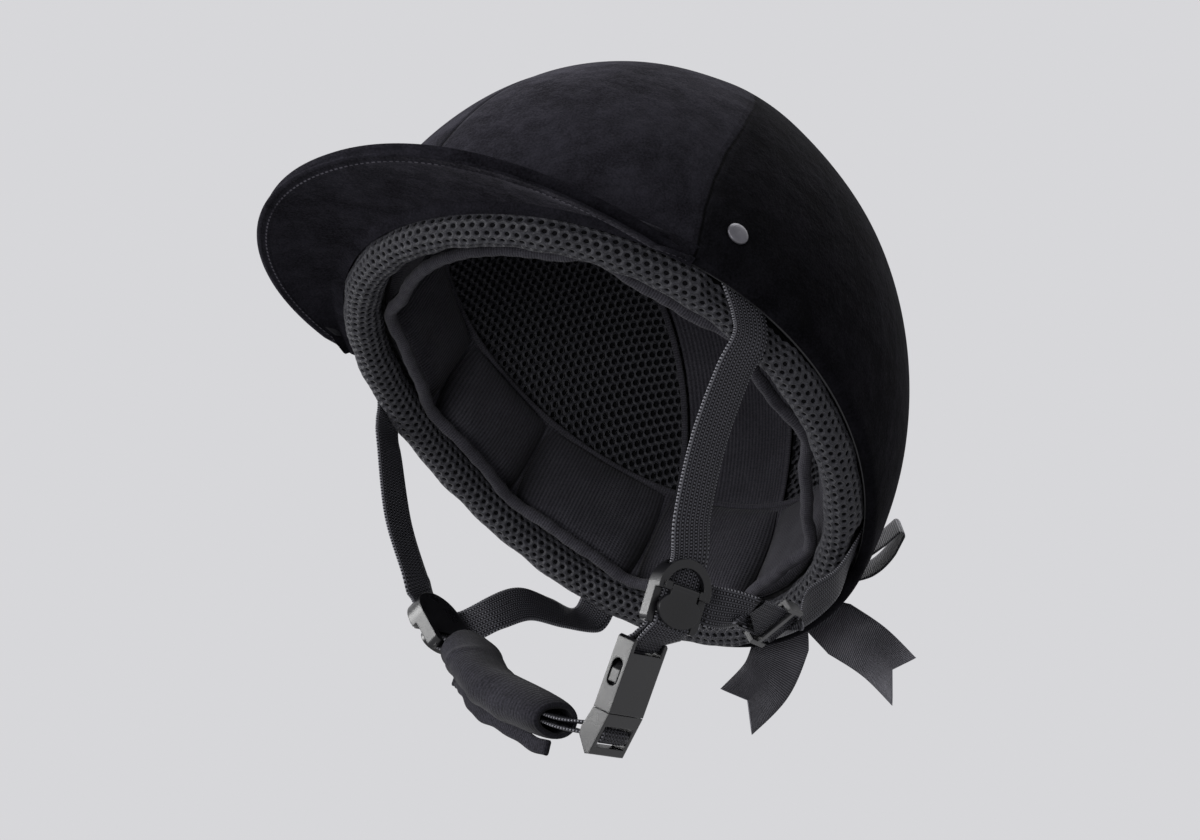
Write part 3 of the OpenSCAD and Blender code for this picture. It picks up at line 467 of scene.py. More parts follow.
def mesh_backing():
    """Dark filling seen through the holes of the mesh."""
    mat, tree, shader = start("mesh_backing_cloth")
    grain = noise(tree, 0.8, 2)
    colour = blend_colour(tree, grain, "060607", "111114")
    put(tree, shader, {"Base Color": colour, "Roughness": 0.95, "Specular IOR Level": 0.1})
    return mat


def webbing():
    """Woven polypropylene: ribs across it and a corded edge, with painted highlights on the ribs and on the
    edge cords.
    """
    mat, tree, shader = start("woven_webbing")
    u, v = mm_uv(tree)
    column = maths(tree, "ROUND", maths(tree, "DIVIDE", v, WEB_COLUMN))
    shifted = maths(tree, "MULTIPLY_ADD", column, WEB_RIB / 2, u)
    line = wave(tree, u, WEB_RIB)
    rib = weigh(tree, line, 0.4, wave(tree, shifted, WEB_RIB), 0.6)
    cord = wave(tree, v, WEB_COLUMN)
    middle = maths(tree, "ABSOLUTE", maths(tree, "SUBTRACT", v, WEB_W / 2))
    edge = levels(tree, middle, WEB_W / 2 - 0.8, WEB_W / 2 - 0.4)
    fibre = noise(tree, 0.4, 3, 0.7)
    weave = weigh(tree, rib, 0.7, cord, 0.3)
    tone = weigh(tree, fibre, 0.25, weave, 0.8)
    # Painted highlights: the raised ribs and cords are coloured light, the hollows near black
    colour = blend_colour(tree, levels(tree, tone, 0.38, 0.82), "020203", "66666d")
    # Painted highlight: light dashes along both corded edges
    colour = blend_colour(tree, maths(tree, "MULTIPLY", edge, levels(tree, line, 0.3, 0.7)),
                          colour, "8c8c93")
    put(tree, shader, {
        "Base Color": colour, "Roughness": levels(tree, fibre, 0.3, 0.7, 0.34, 0.5),
        "Specular IOR Level": 0.1, "Normal": bump(tree, weave, 0.5),
    })
    return mat


def ribbon():
    """Grosgrain ribbon: fine ribs across it and a satin shine. Its grey is painted lighter to stand for the
    sheen on the tails, and the hollows between ribs carry painted shade.
    """
    mat, tree, shader = start("grosgrain_ribbon")
    rib = wave(tree, mm_uv(tree)[0], RIBBON_RIB)
    cloud = noise(tree, 18, 2)
    # Painted sheen: the grey is lighter than the ribbon's own dark grey
    colour = blend_colour(tree, levels(tree, cloud, 0.35, 0.7), "66656c", "85848c")
    # Painted shade in the hollows between the ribs
    colour = blend_colour(tree, levels(tree, rib, 0.1, 0.7, 0.85, 0.0), colour, "1b1b1f")
    put(tree, shader, {
        "Base Color": colour, "Roughness": 0.5, "Specular IOR Level": 0.2,
        "Normal": bump(tree, rib, 0.25), "Sheen Weight": 0.06, "Anisotropic": 0.5,
    })
    return mat


def hard(name, dark, light, rough, metal=0.0, grain_mm=0.6, edge_mm=0.35, grain_high=0.03, coat=0.0):
    """Moulded plastic or metal with a fine grain and slightly rounded edges."""
    mat, tree, shader = start(name)
    grain = noise(tree, grain_mm, 3)
    wear = noise(tree, 9, 4)
    colour = blend_colour(tree, levels(tree, wear, 0.35, 0.7), dark, light)
    round_edge = add(tree, "Bevel", {"Radius": edge_mm / 1000}, samples=4).outputs[0]
    put(tree, shader, {
        "Base Color": colour, "Metallic": metal, "Coat Weight": coat, "Coat Roughness": 0.2,
        "Specular IOR Level": 0.35,
        "Roughness": levels(tree, wear, 0.3, 0.7, rough * 0.85, rough * 1.15),
        "Normal": bump(tree, grain, grain_high, round_edge),
    })
    return mat


def foam():
    """Expanded foam with fused beads."""
    mat, tree, shader = start("bead_foam")
    cells = add(tree, "TexVoronoi", {"Vector": place_mm(tree), "Scale": 1 / BEAD})
    edge = levels(tree, cells.outputs["Distance"], 0.1, 0.7, 1.0, 0.0)
    colour = blend_colour(tree, edge, "1e1e20", "37373a")
    put(tree, shader, {"Base Color": colour, "Roughness": 0.8, "Normal": bump(tree, edge, 0.3)})
    return mat


VELVET = velvet()
KNIT = knit("jersey_knit", "1f1e23", "4b4a51", 1.5, 0.35)
EDGE_KNIT = knit("edge_knit", "222126", "4d4c53", 1.1, 0.2)
SLEEVE_KNIT = knit("ribbed_sleeve_knit", "0c0c0f", "3a3941", 1.2, 0.12, rib_tone=0.22)
MESH = mesh_yarn()
BACKING = mesh_backing()
WEBBING = webbing()
RIBBON = ribbon()
PLASTIC = hard("nylon_buckle_plastic", "0c0c0e", "151518", 0.3, grain_high=0.02, edge_mm=0.8, coat=0.2)
SHELL_PLASTIC = hard("shell_plastic", "18181a", "232326", 0.3)
BOARD = hard("peak_board", "2b2b2f", "38383c", 0.8)
RIVET = hard("painted_rivet_metal", "5a595e", "75747a", 0.36, metal=0.6, grain_mm=0.8, edge_mm=0.3)
STEEL = hard("drawn_steel", "8a8a8c", "a5a5a7", 0.3, metal=1.0)
FOAM = foam()


# Velvet covers in four panels: the side seam as y and z, and the fold under the rim as depth and height
SEAM = [0, CENTRE_Z] + HALF[1:] * [(-0.49, -0.15), (-0.49, -0.07), (-0.507, -0.005), (-0.527, 0.09),
                                   (-0.533, 0.199), (-0.52, 0.329), (-0.461, 0.536), (-0.366, 0.79), (0, 1)]
FOLD = [(0, 9), (0, 6), (0.05, 4), (0.3, 2.4), (0.9, 1.1), (1.8, 0.35), (2.9, 0.1), (3.9, 0.35),
        (4.6, 1.1), (4.9, 2.4), (5.0, 5)]


def seam_distance(y, z):
    """Distance in mm from the side seam, less than 0 in front of it."""
    best = np.full(y.shape, 1e9)
    sign = np.ones(y.shape)
    for (y0, z0), (y1, z1) in zip(SEAM[:-1], SEAM[1:]):
        dy, dz = y1 - y0, z1 - z0
        t = np.clip(((y - y0) * dy + (z - z0) * dz) / (dy * dy + dz * dz), 0, 1)
        gap = np.hypot(y - y0 - t * dy, z - z0 - t * dz)
        turn = np.where((y - y0) * dz - (z - z0) * dy > 0, 1.0, -1.0)
        sign = np.where(gap < best, turn, sign)
        best = np.minimum(best, gap)
    return best * sign


# Relief of the covers: puffed beside seams, a ridge on the side seam and a dip behind it
PUFF = 0.5
PUFF_FADE = 7
RIDGE = 1.3
RIDGE_FADE = 9
DIP = 0.5
DIP_AT = 26
DIP_FADE = 18
# Lengths of cloth: its mean radius, from crown to fold, and per row of the fold
COVER_R = 115
COVER_L = 230
FOLD_STEP = 1.6


def rim_height(a):
    z = np.zeros_like(a)
    for _ in range(4):
        z = rim_z(HALF[0] * egg_k(z, 0) * np.cos(np.radians(a)))
    return z


def cover_relief(grid, side):
    """How far the cloth stands off the egg, with side the distance from the side seam."""
    height = grid[..., 2]
    high = smooth((height - 20) / 40)
    near = np.minimum(abs(side), abs(grid[..., 0]) + 4)
    puff = PUFF * (1 - np.exp(-(near / PUFF_FADE) ** 2)) * high
    ridge = RIDGE * np.exp(-(side / RIDGE_FADE) ** 2) * smooth((height - 70) / 40)
    dip = -DIP * np.exp(-((side - DIP_AT) / DIP_FADE) ** 2) * high
    return puff + ridge + dip


def velvet_piece(name, grid, u, v, close_u=False, seam=FAR, stitch=FAR, front=0.6):
    """Velvet with its distances in mm from seam and stitches, and front, how much painted light its colour
    gets.
    """
    marks = {"seam_mm": seam, "stitch_mm": stitch, "front": front}
    values = {key: np.broadcast_to(value, grid.shape[:2]) for key, value in marks.items()}
    return surface(name, grid, u, v, VELVET, close_u, values=values)


def covers():
    columns = 480
    rows = 170
    a = np.arange(columns) * 360 / columns
    z0 = rim_height(a)
    top = math.pi / 2 - 0.002
    low = np.arcsin((z0 + FOLD[0][1] - CENTRE_Z) / HALF[2])
    grid = [on_egg(a, CENTRE_Z + HALF[2] * np.sin(mix(top, low, j / rows)), 0) for j in range(rows)]
    grid += [on_egg(a, z0 + lift, d) for d, lift in FOLD]
    grid = np.array(grid).transpose(1, 0, 2)
    side = seam_distance(grid[..., 1], grid[..., 2])
    centre = grid[..., 0]
    grid = grid + egg_out(grid) * cover_relief(grid, side)[..., None]
    u = np.arange(columns + 1) * 2 * math.pi * COVER_R / columns
    v = np.concatenate([np.linspace(0, COVER_L, rows), COVER_L + np.cumsum([FOLD_STEP] * len(FOLD))])
    seam = np.where(abs(centre) < abs(side), centre, side)
    # The front panels, ahead of the side seam, get the velvet's painted light
    return velvet_piece("velvet_covers", grid, u, v, True, seam, front=smooth(0.5 - side / 1.5))


# Outline of the covered button, as radius and height
BUTTON = [(0, 4.2), (3, 4.05), (5.5, 3.6), (7.4, 2.7), (8.6, 1.5), (9.1, 0.5), (8.8, -0.3), (0.1, -0.2)]


def crown_button():
    radius, height = sample(BUTTON, 28).T
    b = np.linspace(0, 2 * math.pi, 49)[:-1]
    top = CENTRE_Z + HALF[2] + 0.3
    grid = xyz(radius[None] * np.cos(b)[:, None], radius[None] * np.sin(b)[:, None], top + height[None])
    return velvet_piece("velvet_button", grid, 1.2, 0.8, True)


# Peak, with t the angle in degrees from its left end round to its right end
PEAK_W = 94.4
PEAK_Y = 60.5
PEAK_L = HALF[1] - PEAK_Y + 40.5
PEAK_Z = 11.9
PEAK_DROP = 35.3
PEAK_ARCH = 8.0
PEAK_HIGH = 5.4
PEAK_EDGE_R = 2.6
PEAK_INSET = 2 * PEAK_EDGE_R + 0.6
PEAK_POWER = 2 / 2.15
PEAK_FROM = 2.4
PEAK_CAMBER = 1.2
# The cloth's way up behind the rim, as lift and depth, and stitch distances past the edge
PEAK_SKIRT = ((-0.9, 4.7), (-1.0, 2.6), (-0.6, 0.8))
PEAK_STITCH = (-2.2, -2.8, -3.4)
PEAK_ROOT_A = math.degrees(math.asin(PEAK_Y / (HALF[1] * egg_k(PEAK_Z, 0))))


def peak_edge(t, inset, lift):
    t = math.radians(t)
    s = abs(math.sin(t)) ** PEAK_POWER
    c = math.copysign(abs(math.cos(t)) ** PEAK_POWER, math.cos(t))
    return np.array([(PEAK_W - inset) * c, -PEAK_Y - (PEAK_L - inset) * s,
                     PEAK_Z - PEAK_DROP * s ** 0.98 + PEAK_ARCH * (1 - c * c) + lift])


def peak_root(t, lift, depth=-0.35):
    a = -(PEAK_ROOT_A + (180 - 2 * PEAK_ROOT_A) * t / 180)
    return on_egg(a, rim_z(HALF[0] * math.cos(math.radians(a))) + 0.3 + lift, depth)


def peak_face(t, across, inset, lift):
    """An arched line over one face of the peak, from shell to edge."""
    line = mix(peak_root(t, lift), peak_edge(t, inset, lift), across[:, None])
    line[:, 2] += PEAK_CAMBER * np.sin(math.pi * across) * math.sin(math.radians(t))
    return line


def peak_ring(t, across):
    """A section through the peak, and its distances from the stitches."""
    mid = PEAK_HIGH / 2
    r = min(max((min(t, 180 - t) - 2.1) * 0.38, 0.3), PEAK_EDGE_R)
    c = peak_edge(t, r, mid)
    out = unit(np.cross([0, 0, 1], peak_edge(t - 0.5, r, mid) - peak_edge(t + 0.5, r, mid)))
    inset = PEAK_INSET * r / PEAK_EDGE_R
    skirt = [peak_root(t, low, depth) for low, depth in PEAK_SKIRT]
    under = peak_face(t, across, inset, -0.15)
    over = peak_face(t, across, inset, PEAK_HIGH + 0.1)
    arc = [c + r * 1.12 * (out * math.cos(b) + np.array([0, 0, math.sin(b)]))
           for b in np.radians(range(-110, 111, 11))]
    ring = np.concatenate([skirt, under, arc, over[::-1]])
    edge = len(skirt) + len(under)
    stitch = np.full(len(ring), FAR)
    stitch[len(skirt):edge] = (1 - across) * np.linalg.norm(under[-1] - under[0])
    stitch[edge:edge + len(PEAK_STITCH)] = PEAK_STITCH
    return ring, stitch


def peak():
    across = np.linspace(0, 1, 24)
    rings, stitch = zip(*[peak_ring(t, across) for t in mix(PEAK_FROM, 180 - PEAK_FROM, eased(240))])
    grid = np.array(rings)
    u, v = lengths(grid[:, 40]), lengths(grid[len(grid) // 2])
    return velvet_piece("velvet_peak", grid, u, v, stitch=np.array(stitch))


# Open mesh: rounded strands round rows of holes, on any surface
CORNERS = 12
STRAND_DEPTH = 1.1
WELD = 0.00006


def net(name, cells, where, pitch, hole=0.27, tall=1.0):
    """cells are the middles of the holes on the unrolled surface in mm. where(u, v, depth) gives
    its points, hole is their radius as a share of the pitch and tall stretches them.
    """
    b = np.arange(CORNERS) * 2 * math.pi / CORNERS
    corner = np.where(np.arange(CORNERS) % 2 == 1, 1 / math.sqrt(3), 0.5)
    hexagon = np.stack([np.cos(b), np.sin(b)], 1) * corner[:, None] * pitch
    circle = np.stack([np.cos(b), np.sin(b) * tall], 1) * pitch
    rings = [(hexagon, 0.0), (mix(hexagon, circle * 0.42, 0.55), 0.1), (circle * (hole + 0.05), 0.32),
             (circle * hole, 0.6), (circle * hole * 0.98, STRAND_DEPTH)]
    points = []
    for ring, depth in rings:
        uv = cells[:, None] + ring[None]
        points.append(where(uv[..., 0], uv[..., 1], depth))
    points = np.stack(points, 1)
    base = (np.arange(len(cells)) * len(rings) * CORNERS)[:, None, None]
    k = base + np.arange(len(rings) - 1)[None, :, None] * CORNERS
    j = np.arange(CORNERS)[None, None]
    j1 = (j + 1) % CORNERS
    faces = np.stack([k + j, k + j1, k + CORNERS + j1, k + CORNERS + j], -1)
    mesh = bpy.data.meshes.new(name)
    mesh.from_pydata((points.reshape(-1, 3) / 1000).tolist(), [], faces.reshape(-1, 4).tolist())
    edit_mesh(mesh, lambda bm: bmesh.ops.remove_doubles(bm, verts=bm.verts, dist=WELD))
    return piece(name, mesh, MESH)


def lattice(width, height, pitch, wrap=False):
    """Middles of hexagons in rows, over width by height mm."""
    columns = round(width / pitch)
    pitch_u = width / columns
    rows = round(height / (pitch * math.sqrt(3) / 2))
    cells = [((i + 0.5 * (j % 2)) * pitch_u, j * height / rows)
             for j in range(rows + 1) for i in range(columns if wrap else columns + 1)]
    return np.array(cells)


# Mesh roll round the rim, pressed in where straps pass: an exit is its angle and half width in degrees
ROLL_D = FOLD_IN + 0.4 + ROLL_R
ROLL_LIFT = 2.0
ROLL_DENT = WEB_T + 1.4
ROLL_PITCH = 3.8
ROLL_FROM = -6.0
ROLL_TO = 236.0
FRONT_EXIT = (-15.4, 8.5)
REAR_EXIT = (47.6, 5.5)
EXIT_FADE = 3.5


def on_side(a, side):
    """The angle a on the left, side 1, or its mirror image on the right."""
    return a if side > 0 else 180 - a


def strap_near(a):
    """1 where a strap presses on the roll, and 0 away from it."""
    near = np.zeros_like(a)
    for middle, half in (FRONT_EXIT, REAR_EXIT):
        for side in (1, -1):
            away = turn_gap(a, on_side(middle, side))
            near = np.maximum(near, 1 - smooth((away - half) / EXIT_FADE))
    return near


def roll_point(a, b, depth):
    """Angle a goes round the head and b round the roll, 0 at the shell and 90 below. In degrees."""
    centre = rim_point(a, ROLL_D, ROLL_LIFT)
    out = ring_out(a, ROLL_D)
    b = np.radians(b)
    ripple = 0.25 * np.sin(np.radians(a) * 23) + 0.2 * np.sin(np.radians(a) * 41 + 3 * b)
    r = ROLL_R + 0.1 + ripple - depth
    across = np.minimum(r - ROLL_DENT * strap_near(a), r * np.cos(b))
    down = (ROLL_V + 0.1 + ripple - depth) * np.sin(b)
    return centre + out * across[..., None] - xyz(0, 0, down)


def roll():
    a = np.linspace(0, 360, 721)
    round_mm = lengths(roll_point(a, np.full(a.shape, 110.0), 0.0))
    total = round_mm[-1]
    per_degree = math.radians(ROLL_R + 0.4)
    cells = lattice(total, (ROLL_TO - ROLL_FROM) * per_degree, ROLL_PITCH, wrap=True)

    def where(u, v, depth):
        angle = np.interp(u % total, round_mm, a)
        return roll_point(angle, ROLL_FROM + v / per_degree, depth)

    return net("mesh_roll", cells, where, ROLL_PITCH)


def roll_filling():
    a = np.arange(360.0)
    b = np.arange(0, 360, 10.0)
    grid = roll_point(*np.broadcast_arrays(a[:, None], b[None]), 1.0)
    return surface("mesh_roll_filling", grid, 2.0, 1.4, BACKING, True, True)


# Lining
BAND_IN = 21.2
PAD_OUT = 21.5
PAD_T = 7.4
PIPING_R = 2.6
BAND_TOP = 60.0
CROWN_D = 19.7
CROWN_PITCH = 3.9
CROWN_TILT = 52
NET_L = 300
NET_W = 200
NET_R = 115.0
PANEL_X = -44
BINDING_X = -46.0
PAD_GAPS = np.array([-48, -12, 18, 54, 90, 126, 162, 192, 228.0])


def pad_here(a):
    return smooth(turn_gap(a[..., None], PAD_GAPS) / 12).min(-1)


def headband():
    a = np.arange(240) * 1.5
    low = rim_point(a, BAND_IN, 9.0)[..., 2]
    z = mix(low[:, None], BAND_TOP + 0.8, np.linspace(0, 1, 25)[None])
    grid = on_egg(a[:, None], z, BAND_IN)
    return surface("knit_headband", grid, 2.4, 2.0, KNIT, close_u=True)


def headband_edge():
    a = np.arange(720) * 0.5
    d = PAD_OUT + PIPING_R + 0.2 + 4.6 * pad_here(a)
    line = rim_point(a, d, 6.05)
    gather = 1 + 0.05 * np.sin(np.radians(a) * 70) + 0.03 * np.sin(np.radians(a) * 31)
    return tube("rolled_edge", line, PIPING_R * gather, EDGE_KNIT, 20, closed=True)


def pillow(f, sharp, steep):
    """The rise of a cushion, with f from 0 to 1 across it."""
    return (1 - abs(2 * f - 1) ** sharp) ** steep


def pad(name, a0, a1):
    """A crowned cushion on the headband, full at the rim and meeting its neighbours in deep folds."""
    n = 50 if a1 - a0 < 60 else 90
    m = 40
    u, v = np.meshgrid(eased(n), eased(m), indexing="ij")
    draw = 0.35 + 0.8 * abs(2 * v - 1) ** 3
    a = mix(a0 + draw, a1 - draw, u)
    low = rim_z((HALF[0] - PAD_OUT) * np.cos(np.radians(a))) + 9.6
    z = mix(low + 1.0 * (2 * u - 1) ** 2, 59.2 - 1.4 * (2 * u - 1) ** 4, v)
    crease = 0.35 * np.sin(u * 15 + v * 7 + a0) * np.sin(v * 11 + a0 * 2) * 4 * u * (1 - u)
    width = math.radians(a1 - a0) * 92
    across = pillow(u, max(2.3, width / 20), 0.8)
    lift = 0.4 + (PAD_T - 0.2 + crease) * across * pillow(v, 3.4, 0.55) * (1.08 - 0.3 * v)
    face = on_egg(a, z, PAD_OUT + lift)
    back = on_egg(a, z, PAD_OUT)
    grid = np.concatenate([face, back[:, ::-1]], 1)
    u_mm = width * u[:, 0]
    v_mm = np.concatenate([50 * v[0], 50 + 50 * v[0], [101]])
    # Painted shade for the knit: most at the pad's sides, where it meets its neighbours in folds, and low
    # down; none on the back
    fold = np.concatenate([(1 - across) * (1.25 - 0.7 * v), 0 * v], 1)
    obj = surface(name, grid, u_mm, v_mm, KNIT, close_v=True, values={"fold": fold})
    close_ends(obj)
    return obj


def crown_point(x, b, d):
    """On the egg at depth d, at x and at angle b over the crown from the back to the front."""
    b = np.radians(b)
    k = np.sqrt(1 - (x / (HALF[0] - d)) ** 2)
    return xyz(x, (HALF[1] - d) * k * np.cos(b), CENTRE_Z + (HALF[2] - d) * k * np.sin(b))


def crown_low(x, d):
    k = math.sqrt(1 - (x / (HALF[0] - d)) ** 2)
    return math.degrees(math.asin(min(0.99, (BAND_TOP + 0.6 - CENTRE_Z) / ((HALF[2] - d) * k))))


def crown_net(name, side, inner):
    """Open mesh over one side of the crown, from x = inner down to the headband."""
    r = HALF[1] - CROWN_D

    def tilt_at(u, v):
        return math.radians(CROWN_TILT) + (v - NET_W / 2) / (NET_R * np.cos((u - NET_L / 2) / r))

    def where(u, v, depth):
        turn = (u - NET_L / 2) / r
        tilt = tilt_at(u, v)
        d = CROWN_D + 0.2 + depth
        return xyz(side * (HALF[0] - d) * np.cos(turn) * np.cos(tilt), (HALF[1] - d) * np.sin(turn),
                   CENTRE_Z + (HALF[2] - d) * np.cos(turn) * np.sin(tilt))

    cells = lattice(NET_L, NET_W, CROWN_PITCH)
    middle = where(cells[:, 0], cells[:, 1], 0.0)
    tilt = np.degrees(tilt_at(cells[:, 0], cells[:, 1]))
    keep = (side * middle[:, 0] > inner) & (middle[:, 2] > BAND_TOP + 1.5) & (tilt < 92) & (tilt > -10)
    return net(name, cells[keep], where, CROWN_PITCH, hole=0.3, tall=1.1)


def crown_backing():
    a = np.arange(120) * 3.0
    t = np.linspace(0.25, math.pi / 2 - 0.01, 30)
    grid = on_egg(a[:, None], CENTRE_Z + (HALF[2] - CROWN_D) * np.sin(t)[None], CROWN_D)
    return surface("crown_backing_cloth", grid, 4.0, 4.0, BACKING, close_u=True)


def crown_panel():
    xs = np.linspace(PANEL_X, 0, 24)
    rows = []
    for x in xs:
        low = crown_low(x, CROWN_D)
        rows.append(crown_point(x, np.linspace(low, 180 - low, 90), CROWN_D + 2.5 - 0.4 * (x > -1)))
    return surface("crown_knit_panel", rows, xs, np.linspace(0, 330, 90), KNIT)


def crown_edges():
    """The binding by the knit panel, the panel's hem and the roll on the headband."""
    d = CROWN_D + 2.3
    low = crown_low(BINDING_X, d)
    curve = crown_point(BINDING_X, np.linspace(low, 180 - low, 120), d)
    binding = tube("crown_binding_roll", curve, 1.5, EDGE_KNIT, 12)
    low = crown_low(0, d)
    curve = crown_point(0.3, np.linspace(low, 180 - low, 160), d + 0.2)
    seam = tube("crown_panel_hem", curve, 0.8, EDGE_KNIT, 10)
    curve = on_egg(np.arange(360.0), BAND_TOP + 1.2, BAND_IN + 0.3)
    band = tube("headband_top_binding", curve, 1.3, EDGE_KNIT, 12, closed=True)
    return binding, seam, band


# Harness: the near divider on the left, the far divider and the buckle, with O their middle
BAR_AXIS = unit([-0.08, 0.82, 0.567])
PLUG_BAR = np.array([36.3, 44.2, -121.9])
NEAR_O = np.array([68.6, 19.6, -77.6])
NEAR_N = unit([0.93, -0.1, -0.35])
NEAR_Y = unit(flat([0.28, -0.42, 0.863], NEAR_N))
NEAR_X = np.cross(NEAR_Y, NEAR_N)
FAR_O = np.array([-72.4, 23.6, -65.8])
FAR_Y = unit(flat([-0.543, -0.514, 0.667], BAR_AXIS))
FAR_X = -BAR_AXIS
FAR_N = np.cross(FAR_X, FAR_Y)
DIVIDER_W = 11.7
DIVIDER_L = 13.4
DIVIDER_BAR = (0, -(DIVIDER_L - 0.1 - BAR_R), -1.9)
FRONT_WEB_Z = -0.6
REAR_WEB_Z = -2.5
STRAP_D = 6.4 + WEB_T / 2 - 0.5


def in_near(x, y, z):
    return NEAR_O + NEAR_X * x + NEAR_Y * y + NEAR_N * z


def in_far(x, y, z):
    return FAR_O - FAR_X * x + FAR_Y * y + FAR_N * z


FAR_BAR = FAR_O + FAR_Y * DIVIDER_BAR[1] + FAR_N * DIVIDER_BAR[2]
NEAR_BAR = in_near(*DIVIDER_BAR)
REACH = unit(flat(PLUG_BAR - FAR_BAR, BAR_AXIS))
DOWN = np.cross(BAR_AXIS, REACH)
SOCKET_BAR = PLUG_BAR - DOWN * 37
CHIN_LINE = np.array([
    FAR_BAR, FAR_BAR + REACH * 6, FAR_BAR + REACH * 14 - BAR_AXIS * 2, [-27.8, 31.2, -98.8],
    [12.8, 35.9, -117.9], PLUG_BAR - REACH * 7, PLUG_BAR])
GLIDE_O = np.array([70, 66.5, -51.5])
GLIDE_Y = unit([0.18, -0.85, -0.49])
GLIDE_X = unit(flat([-0.81, 0.1, -0.56], GLIDE_Y))


def hidden_wide(p, side):
    """How the width of a strap lies where it runs between shell and liner."""
    return [side * unit(np.cross(egg_out(p[i]), p[min(i + 1, 2)] - p[max(i - 1, 0)])) for i in range(3)]


def web(name, points, wides, closed=False):
    return strip(name, points, wides, WEB_W, WEB_T, WEBBING, closed)


def front_strap(name, side, under, wides):
    a = on_side(FRONT_EXIT[0], side)
    hidden = [egg_at(-59.4, 40.4, STRAP_D, side), egg_at(-44, 24, STRAP_D, side), rim_point(a, STRAP_D, -1)]
    beside = rim_point(a + side * 2.5, STRAP_D, -10)
    wides = hidden_wide(hidden, side) + [np.array([side * 0.2, 0.88, 0.42])] + wides
    return web(name, sample(hidden + [beside] + under, 120), sample(wides, 120))


def rear_strap(name, side, under, wides):
    a = on_side(REAR_EXIT[0], side)
    hidden = [on_egg(a, 34.0, STRAP_D), on_egg(a, 18.0, STRAP_D), rim_point(a, STRAP_D, -1)]
    wides = hidden_wide(hidden, side) + wides
    return web(name, sample(hidden + under, 130), sample(wides, 130))


def straps():
    return [
        front_strap("webbing_front_left", 1, [
            (93.4, -22.8, -7.5), (84.2, -12.1, -30.3), (76.6, 2.2, -54.0),
            in_near(0, DIVIDER_L, FRONT_WEB_Z), in_near(0, -5.4, FRONT_WEB_Z)],
            [(0.22, 0.87, 0.43), (0.25, 0.85, 0.46), NEAR_X, NEAR_X, NEAR_X]),
        front_strap("webbing_front_right", -1, [
            (-95.4, -22.8, -6), (-88.6, -7.4, -31.2), (-81, 7.4, -49.5),
            in_far(0, DIVIDER_L, FRONT_WEB_Z), in_far(0, -5.4, FRONT_WEB_Z)],
            [(-0.14, 0.86, 0.48), (-0.06, 0.84, 0.54), BAR_AXIS, BAR_AXIS, BAR_AXIS]),
        rear_strap("webbing_rear_left", 1, [
            (68.4, 89.6, -10), (66.4, 82.6, -28.0), GLIDE_O - GLIDE_Y * 10, GLIDE_O - GLIDE_Y * 6,
            GLIDE_O + GLIDE_Y * 18, GLIDE_O + GLIDE_Y * 21, in_near(DIVIDER_W + 6, 0, REAR_WEB_Z),
            in_near(DIVIDER_W, 0, REAR_WEB_Z), in_near(-7.5, 0, REAR_WEB_Z)],
            [(-0.5, 0.85, -0.1), (-0.4, 0.75, -0.45), GLIDE_X, GLIDE_X, GLIDE_X, GLIDE_X,
             -NEAR_Y, -NEAR_Y, -NEAR_Y]),
        rear_strap("webbing_rear_right", -1, [
            (-68.6, 88.4, -7), (-65.4, 70, -19.5), (-63.5, 51.9, -30.8), (-64.6, 41.5, -45),
            in_far(DIVIDER_W + 6, 0, REAR_WEB_Z), in_far(DIVIDER_W, 0, REAR_WEB_Z),
            in_far(-7.5, 0, REAR_WEB_Z)],
            [(0.6, 0.75, -0.2), (0.5, 0.45, -0.7), (0.4, 0.4, -0.8), (0.45, 0.45, -0.75),
             -FAR_Y, -FAR_Y, -FAR_Y]),
    ]


def belt_dir(c, s):
    return unit(spline(c, min(s + 0.05, len(c) - 1)) - spline(c, max(s - 0.05, 0)))


def belt_side(c, s, wide):
    """The way out of a strap's face."""
    return unit(np.cross(wide, belt_dir(c, s)))


def belt(c, wide0, wide1, r0, r1, bulge, steps):
    """The middle line of an endless strap round two bars, and the way its width lies."""
    c = np.asarray(c, float)
    last = len(c) - 1
    d0, d1 = unit(flat(c[1] - c[0], wide0)), unit(flat(c[-1] - c[-2], wide1))
    e0, e1 = np.cross(wide0, d0), np.cross(wide1, d1)
    ends = np.radians(ARC)
    there = []
    for i in range(steps + 1):
        s = mix(1, last - 1, i / steps)
        f = s / last
        half = mix(r0, r1, f) + bulge * abs(math.sin(math.pi * f)) ** 1.6
        there.append((spline(c, s), belt_side(c, s, mix(wide0, wide1, i / steps)) * half))
    line = [c[0] + r0 * (math.sin(a) * e0 - math.cos(a) * d0) for a in ends]
    line += [p + h for p, h in there]
    line += [c[-1] + r1 * (math.sin(a) * e1 + math.cos(a) * d1) for a in ends[::-1]]
    line += [p - h for p, h in there[::-1]]
    way = [mix(wide0, wide1, i / steps) for i in range(steps + 1)]
    return np.array(line), [wide0] * len(ends) + way + [wide1] * len(ends) + way[::-1]


def loops():
    r = BAR_R + BAR_ROOM + WEB_T / 2
    gap = SOCKET_BAR - NEAR_BAR
    line = [NEAR_BAR, NEAR_BAR + unit(flat(gap, NEAR_X)) * 4,
            SOCKET_BAR - unit(flat(gap, BAR_AXIS)) * 3, SOCKET_BAR]
    path, wides = belt(line, NEAR_X, BAR_AXIS, r, r, bulge=-0.8, steps=12)
    short = web("webbing_buckle_loop", path, wides, closed=True)
    r_plug = PLUG_BAR_R + BAR_ROOM + WEB_T / 2
    path, wides = belt(CHIN_LINE, BAR_AXIS, BAR_AXIS, r, r_plug, bulge=-1.3, steps=60)
    chin = web("webbing_chin_loop", path, wides, closed=True)
    return short, chin


